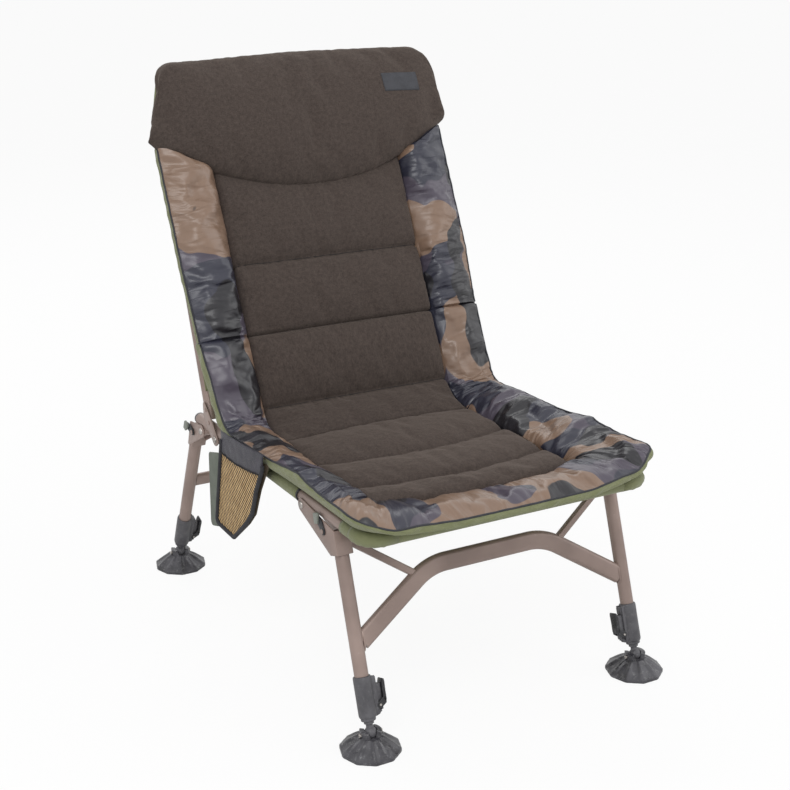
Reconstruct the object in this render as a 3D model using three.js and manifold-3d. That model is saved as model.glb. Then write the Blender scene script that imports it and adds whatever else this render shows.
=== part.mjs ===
import * as THREE from 'three';
import * as BufferGeometryUtils from 'three/addons/utils/BufferGeometryUtils.js';
import Module from 'manifold-3d';

const wasm = await Module();
wasm.setup();

// A folding angler's chair: padded mattress on a tubular frame with four adjustable legs.
// Millimetres, +Z up, +Y to the rear, the sitter faces -Y.
// The origin is on the ground, midway between the feet.

// Clearances
const weldGap = 0.3;
const runningGap = 0.4;
const seamGap = 0.4;
const cutOverrun = 20;

// Seat frame
const padHalfWidth = 282;
const railInset = 30;
const railX = padHalfWidth - railInset;
const railZ = 338;
const railRadius = 10;
const tubeWall = 1.5;
const railRearY = 242;
const frontRailY = -367;
const railCornerRadius = 30;
const cornerStub = 8;
const rearRailY = 182;
const rearRailRadius = 8;
const capLength = 8;
const capPlugLength = 12;

// Pivots of the three folds
const frontPivotY = -180;
const frontPivotZ = 330;
const rearPivotY = 214;
const rearPivotZ = 325;
const backPivotY = 152;
const backPivotZ = 329;
const boltRadius = 3;
const boltHoleRadius = boltRadius + weldGap;
const boltHeadRadius = 6;
const boltHeadLength = 3;
const nutRadius = 5.5;
const nutLength = 3.5;
const lugRadius = 8.5;
const lugHalfWidth = 9;
const lobeRadius = 11;
const plateThickness = 2;

// Legs
const legInset = 2;
const legX = railX - legInset;
const legRadius = 11;
const ballHeight = 30;
const frontFootY = -375;
const rearFootY = 375;
const frontLegTopY = -274;
const frontLegTopZ = 321;
const rearLegTopY = 261;
const rearLegTopZ = 318;

// Feet and inner legs
const footRadius = 47.5;
const footRimHeight = 4;
const footConeHeight = 24;
const footHubRadius = 15;
const footHubHeight = 32;
const footLobes = 10;
const footScallop = 2.2;
const ballRadius = 9.75;
const neckRadius = 5.5;
const neckHeight = 11;
const innerLegRadius = 7.7;
const innerLegBore = 6.2;
const innerLegLength = 150;
const innerLegSolidEnd = 18;
const footPinRadius = 2;
const footPinHalfLength = 17;

// Clamp collars and cam levers, measured up the leg from the ball
const collarBottom = 18;
const collarTop = 86;
const collarShoulder = 26;
const collarStep = 48;
const collarRadius = 13.9;
const collarNoseRadius = 11;
const collarTopRadius = 12.6;
const collarTopBevel = 6;
const clampReach = 24;
const clampHalfWidth = 4.6;
const clampBottom = 30;
const clampTop = 62;
const leverPinReach = 20;
const leverPinHeight = 38;
const leverPinRadius = 2;
const leverPinHalfLength = 9.4;
const leverHalfWidth = 8;
const leverEyeRadius = 5.2;
const leverThickness = 4.4;
const leverBaseHeight = 44;
const leverTopHeight = 76;
const leverLean = 2;

// Front arch and its braces, measured down the leg from its top
const archDrop = 83;
const archEndDrop = 170;
const archSlopeInset = 143;
const archSlopeStartX = legX - archSlopeInset;
const archBendRadius = 100;
const archHeight = 30;
const archDepth = 15;
const archWall = 1.5;
const braceSize = 11;
const braceTopDrop = 19;
const braceFootInset = 121;
const braceFootX = legX - braceFootInset;
const braceFootDrop = 94;
const crossbarHeight = 26;
const crossbarDepth = 12;
const crossbarDrop = 131;

// Back frame: the tubes lean back from the hinge straps
const backTubeX = railX;
const backTubeBottomY = 190.4;
const backTubeBottomZ = 352.5;
const backTubeTopY = 392.6;
const backTubeTopZ = 895;
const backCornerRadius = 40;
const strapTipY = 201;
const strapTipZ = 384;
const strapTipHalfWidth = 5;
const strapFrontY = 160;
const strapFrontZ = 354;
const strapRearY = 199;
const strapRearZ = 356;

// Sleeves and slings
const sleeveInner = railRadius + runningGap;
const slingThickness = 1.6;
const sleeveOuter = sleeveInner + slingThickness;
const slingSag = 32;
const slingRearY = 125;
const slingCornerInset = 33;
const slingCornerX = railX - slingCornerInset;
const bareRailFrontY = -302;
const bareRailRearY = -158;
const slingCutInset = 23;
const slingCutX = railX - slingCutInset;
const backSlingBottom = 50;
const backSlingTop = 500;

// Mattress
const borderWidth = 97;
const seamHalfWidth = padHalfWidth - borderWidth;
const seatNarrowing = 6;
const seatHalfWidth = padHalfWidth - seatNarrowing;
const seatSeamZ = 343;
const seatFrontSeamY = -268;
const seatFrontY = -406;
const seatCornerRadius = 58;
const seatRearY = 52;
const seatCrown = 7;
const channelCrown = 5;
const borderCrown = 15;
const bandHeight = 15;
const padLift = 352;
const channelFrontMidY = -216;
const channelFrontSideY = -182;
const channelRearMidY = -100;
const channelRearSideY = -62;
const sideEdgeLowZ = 354;
const sideEdgeHighZ = 375;
const frontEdgeLowZ = 345;
const frontEdgeHighZ = 364;

// The back's pad plane: a point on it, its lean from the vertical, and heights along it
const padPlaneY = 112;
const padPlaneZ = 366;
const padLean = THREE.MathUtils.degToRad(26.2);
const backPadBottom = 146;
const backChannel = 270;
const headrestMidBottom = 405;
const headrestSideRise = 92;
const headrestTop = 642;
const headrestOverhang = 4;
const headrestHalfWidth = padHalfWidth + headrestOverhang;
const headrestCornerRadius = 58;
const headrestCrown = 18;
const headrestFrontLow = 26;
const headrestFrontTop = 26;
const headrestSideFront = 30;
const headrestSideRear = 14;
const headrestTopRear = 9;
const backCrown = 6;
const backBorderCrown = 14;
const backEdgeFront = 10;
const backEdgeRear = -10;
const padBackingGap = 1.4;
const padTubeGap = 13;
const foldDepthY = 28;
const foldRise = 5;
const foldKneeY = 51;
const foldKneeRise = 17;
const foldChannel = 17;
const foldMiddle = 80;

// Side pocket
const pocketX = seatHalfWidth + weldGap;
const pocketThickness = 1;
const netThickness = 1.4;
const netLean = 7;
const pocketTopRearY = 71;
const pocketTopRearZ = 364;
const pocketTopFrontY = -100;
const pocketTopFrontZ = 376;
const pocketHemHeight = 22;
const pocketLowRearY = 108;
const pocketLowRearZ = 230;
const pocketBottomRearY = 118;
const pocketBottomRearZ = 192;
const pocketTipY = 45;
const pocketTipZ = 189;
const pocketLowFrontY = -15;
const pocketLowFrontZ = 238;
const pocketMidFrontY = -41;
const pocketMidFrontZ = 265;
const pocketBendFrontY = -63;
const pocketBendFrontZ = 315;
const pocketBinding = 9;
const netPitch = 19;
const netHole = 14;
const netHoleSquash = 0.86;
const netHoleTwist = THREE.MathUtils.degToRad(4);
const tabFrontY = 100;
const tabRearY = 151;
const tabTopZ = 310;
const tabBottomZ = 171;
const tabCornerRadius = 22;

// Lock latches
const latchLength = 24;
const latchTabRadius = 6;
const latchEyeRadius = 6;
const latchThickness = 2.5;
const latchTabThickness = 6;
const studRadius = 2.6;
const studHeadRadius = 4.2;
const studHeadLength = 1.2;
const frontStudY = -256;
const frontStudZ = 315;
const frontLatchAngle = THREE.MathUtils.degToRad(43);
const rearStudY = 249;
const rearStudZ = 313;
const rearLatchAngle = THREE.MathUtils.degToRad(13);

// Facets
const tubeSides = 16;
const boltSides = 10;
const latheSides = 16;
const footSides = 20;

// Places worked out from the sizes above
const cheekOuterX = railX + railRadius + runningGap;
const cheekInnerX = legX - legRadius - runningGap;
const frontSplay = -Math.atan2(frontLegTopY - frontFootY, frontLegTopZ - ballHeight);
const rearSplay = Math.atan2(rearFootY - rearLegTopY, rearLegTopZ - ballHeight);
const frontLegLength = Math.hypot(frontLegTopY - frontFootY, frontLegTopZ - ballHeight);
const rearLegLength = Math.hypot(rearFootY - rearLegTopY, rearLegTopZ - ballHeight);
const backTubeLean = Math.atan2(backTubeTopY - backTubeBottomY, backTubeTopZ - backTubeBottomZ);

const finishes = {
  frame: { color: 0x9a857b, roughness: 0.45, metalness: 0.35 },
  bolt: { color: 0x8d8a88, roughness: 0.35, metalness: 0.8 },
  plastic: { color: 0x47474b, roughness: 0.55, metalness: 0 },
  foot: { color: 0x4b4b4f, roughness: 0.7, metalness: 0 },
  olive: { color: 0x7b8455, roughness: 0.9, metalness: 0 },
  camo: { color: 0x6b6472, roughness: 0.5, metalness: 0 },
  fleece: { color: 0x564c45, roughness: 1, metalness: 0 },
  mesh: { color: 0xa68a5f, roughness: 0.9, metalness: 0 },
  cloth: { color: 0x6c7168, roughness: 0.9, metalness: 0 },
};

const chair = new THREE.Group();
const sides = { left: -1, right: 1 };

function add(parent, name, shape, finish) {
  const geometry = shape.isBufferGeometry ? shape : geometryOf(shape);
  const mesh = new THREE.Mesh(geometry, new THREE.MeshStandardMaterial(finishes[finish]));
  mesh.name = name;
  parent.add(mesh);
  return mesh;
}

// Closed meshes to solids and back
function signedVolume(positions, faces) {
  let volume = 0;
  const [a, b, c] = [new THREE.Vector3(), new THREE.Vector3(), new THREE.Vector3()];
  for (let i = 0; i < faces.length; i += 3) {
    a.fromArray(positions, 3 * faces[i]);
    b.fromArray(positions, 3 * faces[i + 1]);
    c.fromArray(positions, 3 * faces[i + 2]);
    volume += a.dot(b.cross(c)) / 6;
  }
  return volume;
}

function solidOf(geometry) {
  const bare = new THREE.BufferGeometry();
  bare.setAttribute('position', geometry.getAttribute('position'));
  bare.setIndex(geometry.getIndex());
  const merged = BufferGeometryUtils.mergeVertices(bare);
  const corners = merged.getIndex().array;
  const faces = [];
  for (let i = 0; i < corners.length; i += 3) {
    const [a, b, c] = [corners[i], corners[i + 1], corners[i + 2]];
    if (a !== b && b !== c && c !== a) faces.push(a, b, c);
  }
  const positions = merged.getAttribute('position').array;
  if (signedVolume(positions, faces) < 0) faces.reverse();
  return new wasm.Manifold(new wasm.Mesh({
    numProp: 3,
    vertProperties: new Float32Array(positions),
    triVerts: new Uint32Array(faces),
  }));
}

function geometryOf(solid) {
  const mesh = solid.getMesh();
  const geometry = new THREE.BufferGeometry();
  geometry.setAttribute('position', new THREE.BufferAttribute(mesh.vertProperties, 3));
  geometry.setIndex(new THREE.BufferAttribute(mesh.triVerts, 1));
  return geometry;
}

function joined(...shapes) {
  return shapes.map(solidFrom).reduce((whole, shape) => whole.add(shape));
}

function cut(shape, ...tools) {
  return tools.map(solidFrom).reduce((whole, tool) => whole.subtract(tool), solidFrom(shape));
}

function solidFrom(shape) {
  return shape.isBufferGeometry ? solidOf(shape) : shape;
}

// Outlines
function circle(radius, count, centreX = 0, centreY = 0) {
  const points = [];
  for (let i = 0; i < count; i += 1) {
    const angle = (2 * Math.PI * i) / count;
    points.push(new THREE.Vector2(centreX + radius * Math.cos(angle), centreY + radius * Math.sin(angle)));
  }
  return points;
}

function oval(width, height, count) {
  const round = width / 2;
  const straight = height / 2 - round;
  return circle(round, count).map((p) => new THREE.Vector2(p.x, p.y + Math.sign(p.y || 1) * straight));
}

function hull(points) {
  const sorted = [...points].sort((p, q) => p.x - q.x || p.y - q.y);
  const turn = (o, p, q) => (p.x - o.x) * (q.y - o.y) - (p.y - o.y) * (q.x - o.x);
  const half = (list) => {
    const chain = [];
    for (const p of list) {
      while (chain.length > 1 && turn(chain.at(-2), chain.at(-1), p) <= 0) chain.pop();
      chain.push(p);
    }
    chain.pop();
    return chain;
  };
  return [...half(sorted), ...half(sorted.reverse())];
}

function shapeOf(points, holes = []) {
  const shape = new THREE.Shape(points);
  shape.holes = holes.map((hole) => new THREE.Path(hole));
  return shape;
}

// Extrusions along one axis: an outline in (y, z) run along X, in (x, z) along Y, in (x, y) along Z
function alongX(shape, from, to) {
  const geometry = new THREE.ExtrudeGeometry(shape, { depth: to - from, bevelEnabled: false });
  return geometry.applyMatrix4(new THREE.Matrix4().set(0, 0, 1, from, 1, 0, 0, 0, 0, 1, 0, 0, 0, 0, 0, 1));
}

function alongY(shape, from, to) {
  const geometry = new THREE.ExtrudeGeometry(shape, { depth: to - from, bevelEnabled: false });
  return geometry.applyMatrix4(new THREE.Matrix4().set(1, 0, 0, 0, 0, 0, -1, to, 0, 1, 0, 0, 0, 0, 0, 1));
}

function alongZ(shape, from, to) {
  const geometry = new THREE.ExtrudeGeometry(shape, { depth: to - from, bevelEnabled: false });
  return geometry.translate(0, 0, from);
}

function rodAlongX(radius, from, to, y, z, count = boltSides) {
  return alongX(shapeOf(circle(radius, count, y, z)), from, to);
}

function block(x0, x1, y0, y1, z0, z1) {
  return new THREE.BoxGeometry(x1 - x0, y1 - y0, z1 - z0)
    .translate((x0 + x1) / 2, (y0 + y1) / 2, (z0 + z1) / 2);
}

// The two ends of a span on one side of the chair, in rising order of x
function spanOn(side, near, far) {
  return side > 0 ? [near, far] : [-far, -near];
}

// A route through stations, which an extrusion follows station by station
class Route extends THREE.Curve {
  constructor(stations) {
    super();
    this.stations = stations;
  }

  getPoint(t, target = new THREE.Vector3()) {
    const place = t * (this.stations.length - 1);
    const before = Math.min(Math.floor(place), this.stations.length - 2);
    return target.lerpVectors(this.stations[before], this.stations[before + 1], place - before);
  }

  getUtoTmapping(u) {
    return u;
  }
}

function runAlong(stations, outline, holes = []) {
  return new THREE.ExtrudeGeometry(shapeOf(outline, holes), {
    steps: stations.length - 1,
    extrudePath: new Route(stations),
    bevelEnabled: false,
  });
}

function tube(stations, radius) {
  return runAlong(stations, circle(radius, tubeSides), [circle(radius - tubeWall, tubeSides)]);
}

// Stations from a start to an end by way of one rounded corner
function roundedCorner(start, corner, end, radius, steps) {
  const inward = start.clone().sub(corner).normalize();
  const outward = end.clone().sub(corner).normalize();
  const halfAngle = inward.angleTo(outward) / 2;
  const bisector = inward.clone().add(outward).normalize();
  const centre = corner.clone().addScaledVector(bisector, radius / Math.sin(halfAngle));
  const first = corner.clone().addScaledVector(inward, radius / Math.tan(halfAngle)).sub(centre);
  const last = corner.clone().addScaledVector(outward, radius / Math.tan(halfAngle)).sub(centre);
  const sweep = first.angleTo(last);
  const axis = first.clone().cross(last).normalize();
  const stations = [start.clone()];
  for (let i = 0; i <= steps; i += 1) {
    stations.push(first.clone().applyAxisAngle(axis, (sweep * i) / steps).add(centre));
  }
  stations.push(end.clone());
  return stations;
}

// A closed body between two grids of points: frontAt and rearAt give a point for shares across and along
function cushion(columns, rows, frontAt, rearAt) {
  const positions = [];
  const faces = [];
  const perLayer = (columns + 1) * (rows + 1);
  for (const at of [frontAt, rearAt]) {
    for (let j = 0; j <= rows; j += 1) {
      for (let i = 0; i <= columns; i += 1) positions.push(...at(i / columns, j / rows).toArray());
    }
  }
  const index = (layer, i, j) => layer * perLayer + j * (columns + 1) + i;
  const quad = (a, b, c, d) => faces.push(a, b, c, a, c, d);
  for (let j = 0; j < rows; j += 1) {
    for (let i = 0; i < columns; i += 1) {
      quad(index(0, i, j), index(0, i + 1, j), index(0, i + 1, j + 1), index(0, i, j + 1));
      quad(index(1, i, j), index(1, i, j + 1), index(1, i + 1, j + 1), index(1, i + 1, j));
    }
  }
  for (let i = 0; i < columns; i += 1) {
    quad(index(0, i, 0), index(1, i, 0), index(1, i + 1, 0), index(0, i + 1, 0));
    quad(index(0, i, rows), index(0, i + 1, rows), index(1, i + 1, rows), index(1, i, rows));
  }
  for (let j = 0; j < rows; j += 1) {
    quad(index(0, 0, j), index(0, 0, j + 1), index(1, 0, j + 1), index(1, 0, j));
    quad(index(0, columns, j), index(1, columns, j), index(1, columns, j + 1), index(0, columns, j + 1));
  }
  if (signedVolume(positions, faces) < 0) faces.reverse();
  const geometry = new THREE.BufferGeometry();
  geometry.setAttribute('position', new THREE.Float32BufferAttribute(positions, 3));
  geometry.setIndex(faces);
  return geometry;
}

function mix(a, b, share) {
  return a + (b - a) * share;
}

function clampShare(share) {
  return THREE.MathUtils.clamp(share, 0, 1);
}

// A value read from a list of [share, value share] pairs in rising order
function readShares(pairs, share) {
  const next = pairs.findIndex(([at]) => at >= share);
  if (next <= 0) return pairs[next === 0 ? 0 : pairs.length - 1][1];
  const [fromShare, from] = pairs[next - 1];
  const [toShare, to] = pairs[next];
  return mix(from, to, (share - fromShare) / (toShare - fromShare));
}

// Seat rails with their hinge lugs
function hingeLug(side, y, z) {
  const [x0, x1] = spanOn(side, railX - lugHalfWidth, railX + lugHalfWidth);
  const root = lugRadius + plateThickness;
  const outline = hull([
    ...circle(lugRadius, tubeSides, y, z),
    new THREE.Vector2(y - root, railZ),
    new THREE.Vector2(y + root, railZ),
  ]);
  return alongX(shapeOf(outline), x0, x1);
}

function seatRail(side) {
  const rear = new THREE.Vector3(side * railX, railRearY, railZ);
  const corner = new THREE.Vector3(side * railX, frontRailY, railZ);
  const front = new THREE.Vector3(side * (railX - railCornerRadius - cornerStub), frontRailY, railZ);
  const stations = roundedCorner(rear, corner, front, railCornerRadius, 4);
  const outer = runAlong(stations, circle(railRadius, tubeSides));
  const bore = runAlong(overrunEnds(stations), circle(railRadius - tubeWall, tubeSides));
  const pivots = [[frontPivotY, frontPivotZ], [rearPivotY, rearPivotZ], [backPivotY, backPivotZ]];
  const lugs = pivots.map(([y, z]) => hingeLug(side, y, z));
  const [x0, x1] = spanOn(side, railX - cutOverrun, railX + cutOverrun);
  const holes = pivots.map(([y, z]) => rodAlongX(boltHoleRadius, x0, x1, y, z));
  return cut(joined(outer, ...lugs), bore, ...holes);
}

function overrunEnds(stations) {
  const longer = stations.map((p) => p.clone());
  const first = stations[0].clone().sub(stations[1]).normalize();
  const last = stations.at(-1).clone().sub(stations.at(-2)).normalize();
  longer[0].addScaledVector(first, cutOverrun);
  longer.at(-1).addScaledVector(last, cutOverrun);
  return longer;
}

function straightTube(from, to, radius) {
  return tube([from, to], radius);
}

const capPlugRadius = railRadius - tubeWall - weldGap;
for (const [name, side] of Object.entries(sides)) {
  add(chair, `seat_rail_${name}`, seatRail(side), 'frame');
  const cap = joined(
    rotatedRod(railRadius, railRearY + weldGap, railRearY + weldGap + capLength, side * railX),
    rotatedRod(capPlugRadius, railRearY - capPlugLength, railRearY + capLength, side * railX),
  );
  add(chair, `rail_end_cap_${name}`, cap, 'plastic');
}

function rotatedRod(radius, from, to, x) {
  return alongY(shapeOf(circle(radius, tubeSides, x, railZ)), from, to);
}

const frontRailEnd = railX - railCornerRadius - cornerStub - weldGap;
const rearRailEnd = railX - railRadius - weldGap;
add(chair, 'seat_front_rail', straightTube(
  new THREE.Vector3(-frontRailEnd, frontRailY, railZ),
  new THREE.Vector3(frontRailEnd, frontRailY, railZ),
  railRadius,
), 'frame');
add(chair, 'seat_rear_rail', straightTube(
  new THREE.Vector3(-rearRailEnd, rearRailY, railZ),
  new THREE.Vector3(rearRailEnd, rearRailY, railZ),
  rearRailRadius,
), 'frame');

// Seat sling: sleeves round the rails and a sagging sheet between them
const slingEdgeX = railX - (sleeveInner + sleeveOuter) / 2;

function slingHeight(x, y) {
  const level = clampShare((y - frontRailY) / (seatFrontSeamY - frontRailY));
  return railZ - slingSag * level * (1 - (x / slingEdgeX) ** 2);
}

function sleeveOutline(centreX, centreY, startAngle, endAngle, steps) {
  const points = [];
  for (const radius of [sleeveOuter, sleeveInner]) {
    const arc = [];
    for (let i = 0; i <= steps; i += 1) {
      const angle = mix(startAngle, endAngle, i / steps);
      arc.push(new THREE.Vector2(centreX + radius * Math.cos(angle), centreY + radius * Math.sin(angle)));
    }
    points.push(...(radius === sleeveOuter ? arc : arc.reverse()));
  }
  return points;
}

function seatSling() {
  const frontY = frontRailY + (sleeveInner + sleeveOuter) / 2;
  const rowsY = [frontY, seatFrontSeamY, slingRearY];
  const lastRow = rowsY.length - 1;
  const place = (u, v) => [mix(-slingEdgeX, slingEdgeX, u), rowsY[Math.round(v * lastRow)]];
  const sheet = cushion(
    16,
    lastRow,
    (u, v) => sheetPoint(...place(u, v), 0),
    (u, v) => sheetPoint(...place(u, v), slingThickness),
  );
  const openAngle = THREE.MathUtils.degToRad(-75);
  const closeAngle = THREE.MathUtils.degToRad(195);
  const wrap = sleeveOutline(railX, railZ, openAngle, closeAngle, 12);
  const mirrored = wrap.map((p) => new THREE.Vector2(-p.x, p.y)).reverse();
  const sleeveFrontY = frontRailY + railCornerRadius;
  const frontOpenAngle = THREE.MathUtils.degToRad(-35);
  const frontCloseAngle = THREE.MathUtils.degToRad(250);
  const frontWrap = sleeveOutline(frontRailY, railZ, frontOpenAngle, frontCloseAngle, 12);
  const frontSleeveEnd = frontRailEnd - seamGap;
  const bareCuts = Object.values(sides).map((side) => {
    const [x0, x1] = spanOn(side, slingCutX, railX + cutOverrun);
    return block(x0, x1, bareRailFrontY, bareRailRearY, 0, railZ + cutOverrun);
  });
  const cornerCuts = Object.values(sides).map((side) => {
    const [x0, x1] = spanOn(side, slingCornerX, railX + cutOverrun);
    return block(x0, x1, frontRailY - cutOverrun, sleeveFrontY, 0, railZ + cutOverrun);
  });
  return cut(
    joined(
      sheet,
      alongY(shapeOf(wrap), sleeveFrontY, slingRearY),
      alongY(shapeOf(mirrored), sleeveFrontY, slingRearY),
      alongX(shapeOf(frontWrap), -frontSleeveEnd, frontSleeveEnd),
    ),
    ...bareCuts,
    ...cornerCuts,
  );
}

function sheetPoint(x, y, below) {
  return new THREE.Vector3(x, y, slingHeight(x, y) - below);
}

add(chair, 'seat_sling', seatSling(), 'olive');

// Mattress on the seat
// The border's top and underside follow a share that is 0 at the seam and 1 at the edge.
const sideEdgeShares = [[0, 0], [0.27, 0.24], [0.48, 0.45], [0.79, 0.95], [0.93, 1], [1, 0.95]];
const frontEdgeShares = [[0, 0], [0.45, 0.05], [0.62, 0.25], [0.8, 0.55], [0.92, 0.95], [1, 1]];

function borderShare(x, y) {
  const across = clampShare((Math.abs(x) - seamHalfWidth) / (seatHalfWidth - seamHalfWidth));
  const ahead = clampShare((seatFrontSeamY - y) / (seatFrontSeamY - seatFrontY));
  return { across, ahead, share: clampShare((across ** 4 + ahead ** 4) ** 0.25) };
}

function edgeZ(x, y) {
  const { across, ahead } = borderShare(x, y);
  const sideShare = readShares(sideEdgeShares, clampShare((seatRearY - y) / (seatRearY - seatFrontSeamY)));
  const frontShare = readShares(frontEdgeShares, clampShare(Math.abs(x) / seatHalfWidth));
  const toSide = across ** 4 / Math.max(across ** 4 + ahead ** 4, Number.EPSILON);
  return mix(
    mix(frontEdgeLowZ, frontEdgeHighZ, frontShare),
    mix(sideEdgeLowZ, sideEdgeHighZ, sideShare),
    toSide,
  );
}

function borderTopZ(x, y) {
  const { share } = borderShare(x, y);
  const rim = edgeZ(x, y) + bandHeight;
  return mix(seatSeamZ, rim, share ** 1.2) + borderCrown * Math.sin(Math.PI * share);
}

function padUnderZ(x, y) {
  const { share } = borderShare(x, y);
  const inner = slingHeight(Math.min(Math.abs(x), seamHalfWidth), y) + seamGap;
  const wholeLiftShare = 0.6;
  const edgeDropShare = 0.85;
  if (share < wholeLiftShare) return mix(inner, padLift, (share / wholeLiftShare) ** 1.5);
  if (share < edgeDropShare) return padLift;
  return mix(padLift, edgeZ(x, y), (share - edgeDropShare) / (1 - edgeDropShare));
}

function centreTopZ(x, panelShare) {
  const across = 1 - (x / seamHalfWidth) ** 2;
  return seatSeamZ + seatCrown * across + channelCrown * Math.sqrt(across) * Math.sin(Math.PI * panelShare);
}

function seatCentre() {
  const edge = seamHalfWidth - seamGap;
  const seamRows = (x) => {
    const bow = 1 - (x / seamHalfWidth) ** 2;
    return [
      seatFrontSeamY + seamGap,
      mix(channelFrontSideY, channelFrontMidY, bow),
      mix(channelRearSideY, channelRearMidY, bow),
      seatRearY - seamGap,
    ];
  };
  const place = (u, v) => {
    const x = mix(-edge, edge, u);
    const rows = seamRows(x);
    const panel = Math.min(Math.floor(v * 3 + 1e-9), 2);
    const panelShare = v * 3 - panel;
    return { x, y: mix(rows[panel], rows[panel + 1], panelShare), panelShare };
  };
  return cushion(
    10,
    9,
    (u, v) => {
      const { x, y, panelShare } = place(u, v);
      return new THREE.Vector3(x, y, centreTopZ(x, panelShare));
    },
    (u, v) => {
      const { x, y } = place(u, v);
      return new THREE.Vector3(x, y, slingHeight(x, y) + seamGap);
    },
  );
}

function seatSideBorder(side) {
  const place = (u, v) => [
    side * mix(seamHalfWidth, seatHalfWidth, u),
    mix(seatFrontSeamY + seamGap, seatRearY - seamGap, v),
  ];
  return cushion(
    6,
    10,
    (u, v) => borderPoint(...place(u, v), borderTopZ),
    (u, v) => borderPoint(...place(u, v), padUnderZ),
  );
}

function borderPoint(x, y, heightAt) {
  return new THREE.Vector3(x, y, heightAt(x, y));
}

function seatFrontBorder() {
  const outerY = (x) => {
    const into = Math.max(Math.abs(x) - (seatHalfWidth - seatCornerRadius), 0);
    return seatFrontY + seatCornerRadius - Math.sqrt(seatCornerRadius ** 2 - into ** 2);
  };
  const columnShares = [0, 0.02, 0.05, 0.09, 0.14, 0.2, 0.28, 0.38, 0.5];
  const allShares = [...columnShares, ...columnShares.slice(0, -1).map((s) => 1 - s).reverse()];
  const place = (u, v) => {
    const x = mix(-seatHalfWidth, seatHalfWidth, allShares[Math.round(u * (allShares.length - 1))]);
    return [x, mix(seatFrontSeamY, outerY(x), v)];
  };
  return cushion(
    allShares.length - 1,
    7,
    (u, v) => borderPoint(...place(u, v), borderTopZ),
    (u, v) => borderPoint(...place(u, v), padUnderZ),
  );
}

add(chair, 'seat_pad_centre', seatCentre(), 'fleece');
add(chair, 'seat_border_left', seatSideBorder(sides.left), 'camo');
add(chair, 'seat_border_right', seatSideBorder(sides.right), 'camo');
add(chair, 'seat_border_front', seatFrontBorder(), 'camo');

// Mattress on the back, in the pad plane: x across, s up the plane, and an offset to its front
function onPadPlane(x, s, offset) {
  return new THREE.Vector3(
    x,
    padPlaneY + s * Math.sin(padLean) - offset * Math.cos(padLean),
    padPlaneZ + s * Math.cos(padLean) + offset * Math.sin(padLean),
  );
}

function backTubeOffset(s) {
  const away = new THREE.Vector2(backTubeBottomY - padPlaneY, backTubeBottomZ - padPlaneZ);
  const bottomS = away.x * Math.sin(padLean) + away.y * Math.cos(padLean);
  const bottomOffset = away.y * Math.sin(padLean) - away.x * Math.cos(padLean);
  return bottomOffset + (s - bottomS) * Math.tan(padLean - backTubeLean);
}

function backFrontOffset(x, panelShare) {
  const across = clampShare((Math.abs(x) - seamHalfWidth) / (padHalfWidth - seamHalfWidth));
  if (across > 0) return backEdgeFront * across ** 1.2 + backBorderCrown * Math.sin(Math.PI * across);
  const inward = 1 - (x / seamHalfWidth) ** 2;
  return backCrown * inward + channelCrown * Math.sqrt(inward) * Math.sin(Math.PI * panelShare);
}

function backRearOffset(x, s) {
  const sleeveX = backTubeX - sleeveOuter;
  const rampX = sleeveX - sleeveOuter;
  const rimX = backTubeX + sleeveOuter;
  const tubeOffset = backTubeOffset(s);
  const away = Math.abs(x);
  if (away < rampX) return tubeOffset + padBackingGap;
  if (away < sleeveX) {
    return tubeOffset + mix(padBackingGap, padTubeGap, (away - rampX) / (sleeveX - rampX));
  }
  if (away < rimX) return tubeOffset + padTubeGap;
  return mix(tubeOffset + padTubeGap, backEdgeRear, (away - rimX) / (padHalfWidth - rimX));
}

function headrestBottomS(x) {
  return headrestMidBottom + headrestSideRise * (x / headrestHalfWidth) ** 2;
}

function backPanel(x, v) {
  const split = 0.5;
  const top = headrestBottomS(x) - seamGap;
  const lower = v <= split;
  const panelShare = lower ? v / split : (v - split) / (1 - split);
  const s = lower ? mix(backPadBottom + seamGap, backChannel, panelShare) : mix(backChannel, top, panelShare);
  return { s, panelShare };
}

function backPad(x0, x1, columns, rows) {
  return cushion(
    columns,
    rows,
    (u, v) => {
      const x = mix(x0, x1, u);
      const { s, panelShare } = backPanel(x, v);
      return onPadPlane(x, s, backFrontOffset(x, panelShare));
    },
    (u, v) => {
      const x = mix(x0, x1, u);
      const { s } = backPanel(x, v);
      return onPadPlane(x, s, backRearOffset(x, s));
    },
  );
}

function headrest() {
  const topS = (x) => {
    const into = Math.max(Math.abs(x) - (headrestHalfWidth - headrestCornerRadius), 0);
    return headrestTop - headrestCornerRadius + Math.sqrt(headrestCornerRadius ** 2 - into ** 2);
  };
  const columnShares = [0, 0.015, 0.045, 0.09, 0.16, 0.27, 0.38, 0.5];
  const allShares = [...columnShares, ...columnShares.slice(0, -1).map((s) => 1 - s).reverse()];
  const place = (u, v) => {
    const x = mix(-headrestHalfWidth, headrestHalfWidth, allShares[Math.round(u * (allShares.length - 1))]);
    return { x, s: mix(headrestBottomS(x) + seamGap, topS(x), v) };
  };
  const rimShare = (x) => {
    const rimX = backTubeX + sleeveOuter;
    return clampShare((Math.abs(x) - rimX) / (headrestHalfWidth - rimX));
  };
  return cushion(
    allShares.length - 1,
    8,
    (u, v) => {
      const { x, s } = place(u, v);
      const crown = headrestCrown * Math.sin(Math.PI * v) ** 0.7 * (1 - (x / headrestHalfWidth) ** 4);
      const flat = mix(headrestFrontLow, headrestFrontTop, v);
      return onPadPlane(x, s, mix(flat, mix(headrestSideFront, headrestFrontTop, v), rimShare(x)) + crown);
    },
    (u, v) => {
      const { x, s } = place(u, v);
      const rear = backTubeOffset(s) + padTubeGap;
      return onPadPlane(x, s, mix(rear, mix(headrestSideRear, headrestTopRear, v), rimShare(x)));
    },
  );
}

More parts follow.
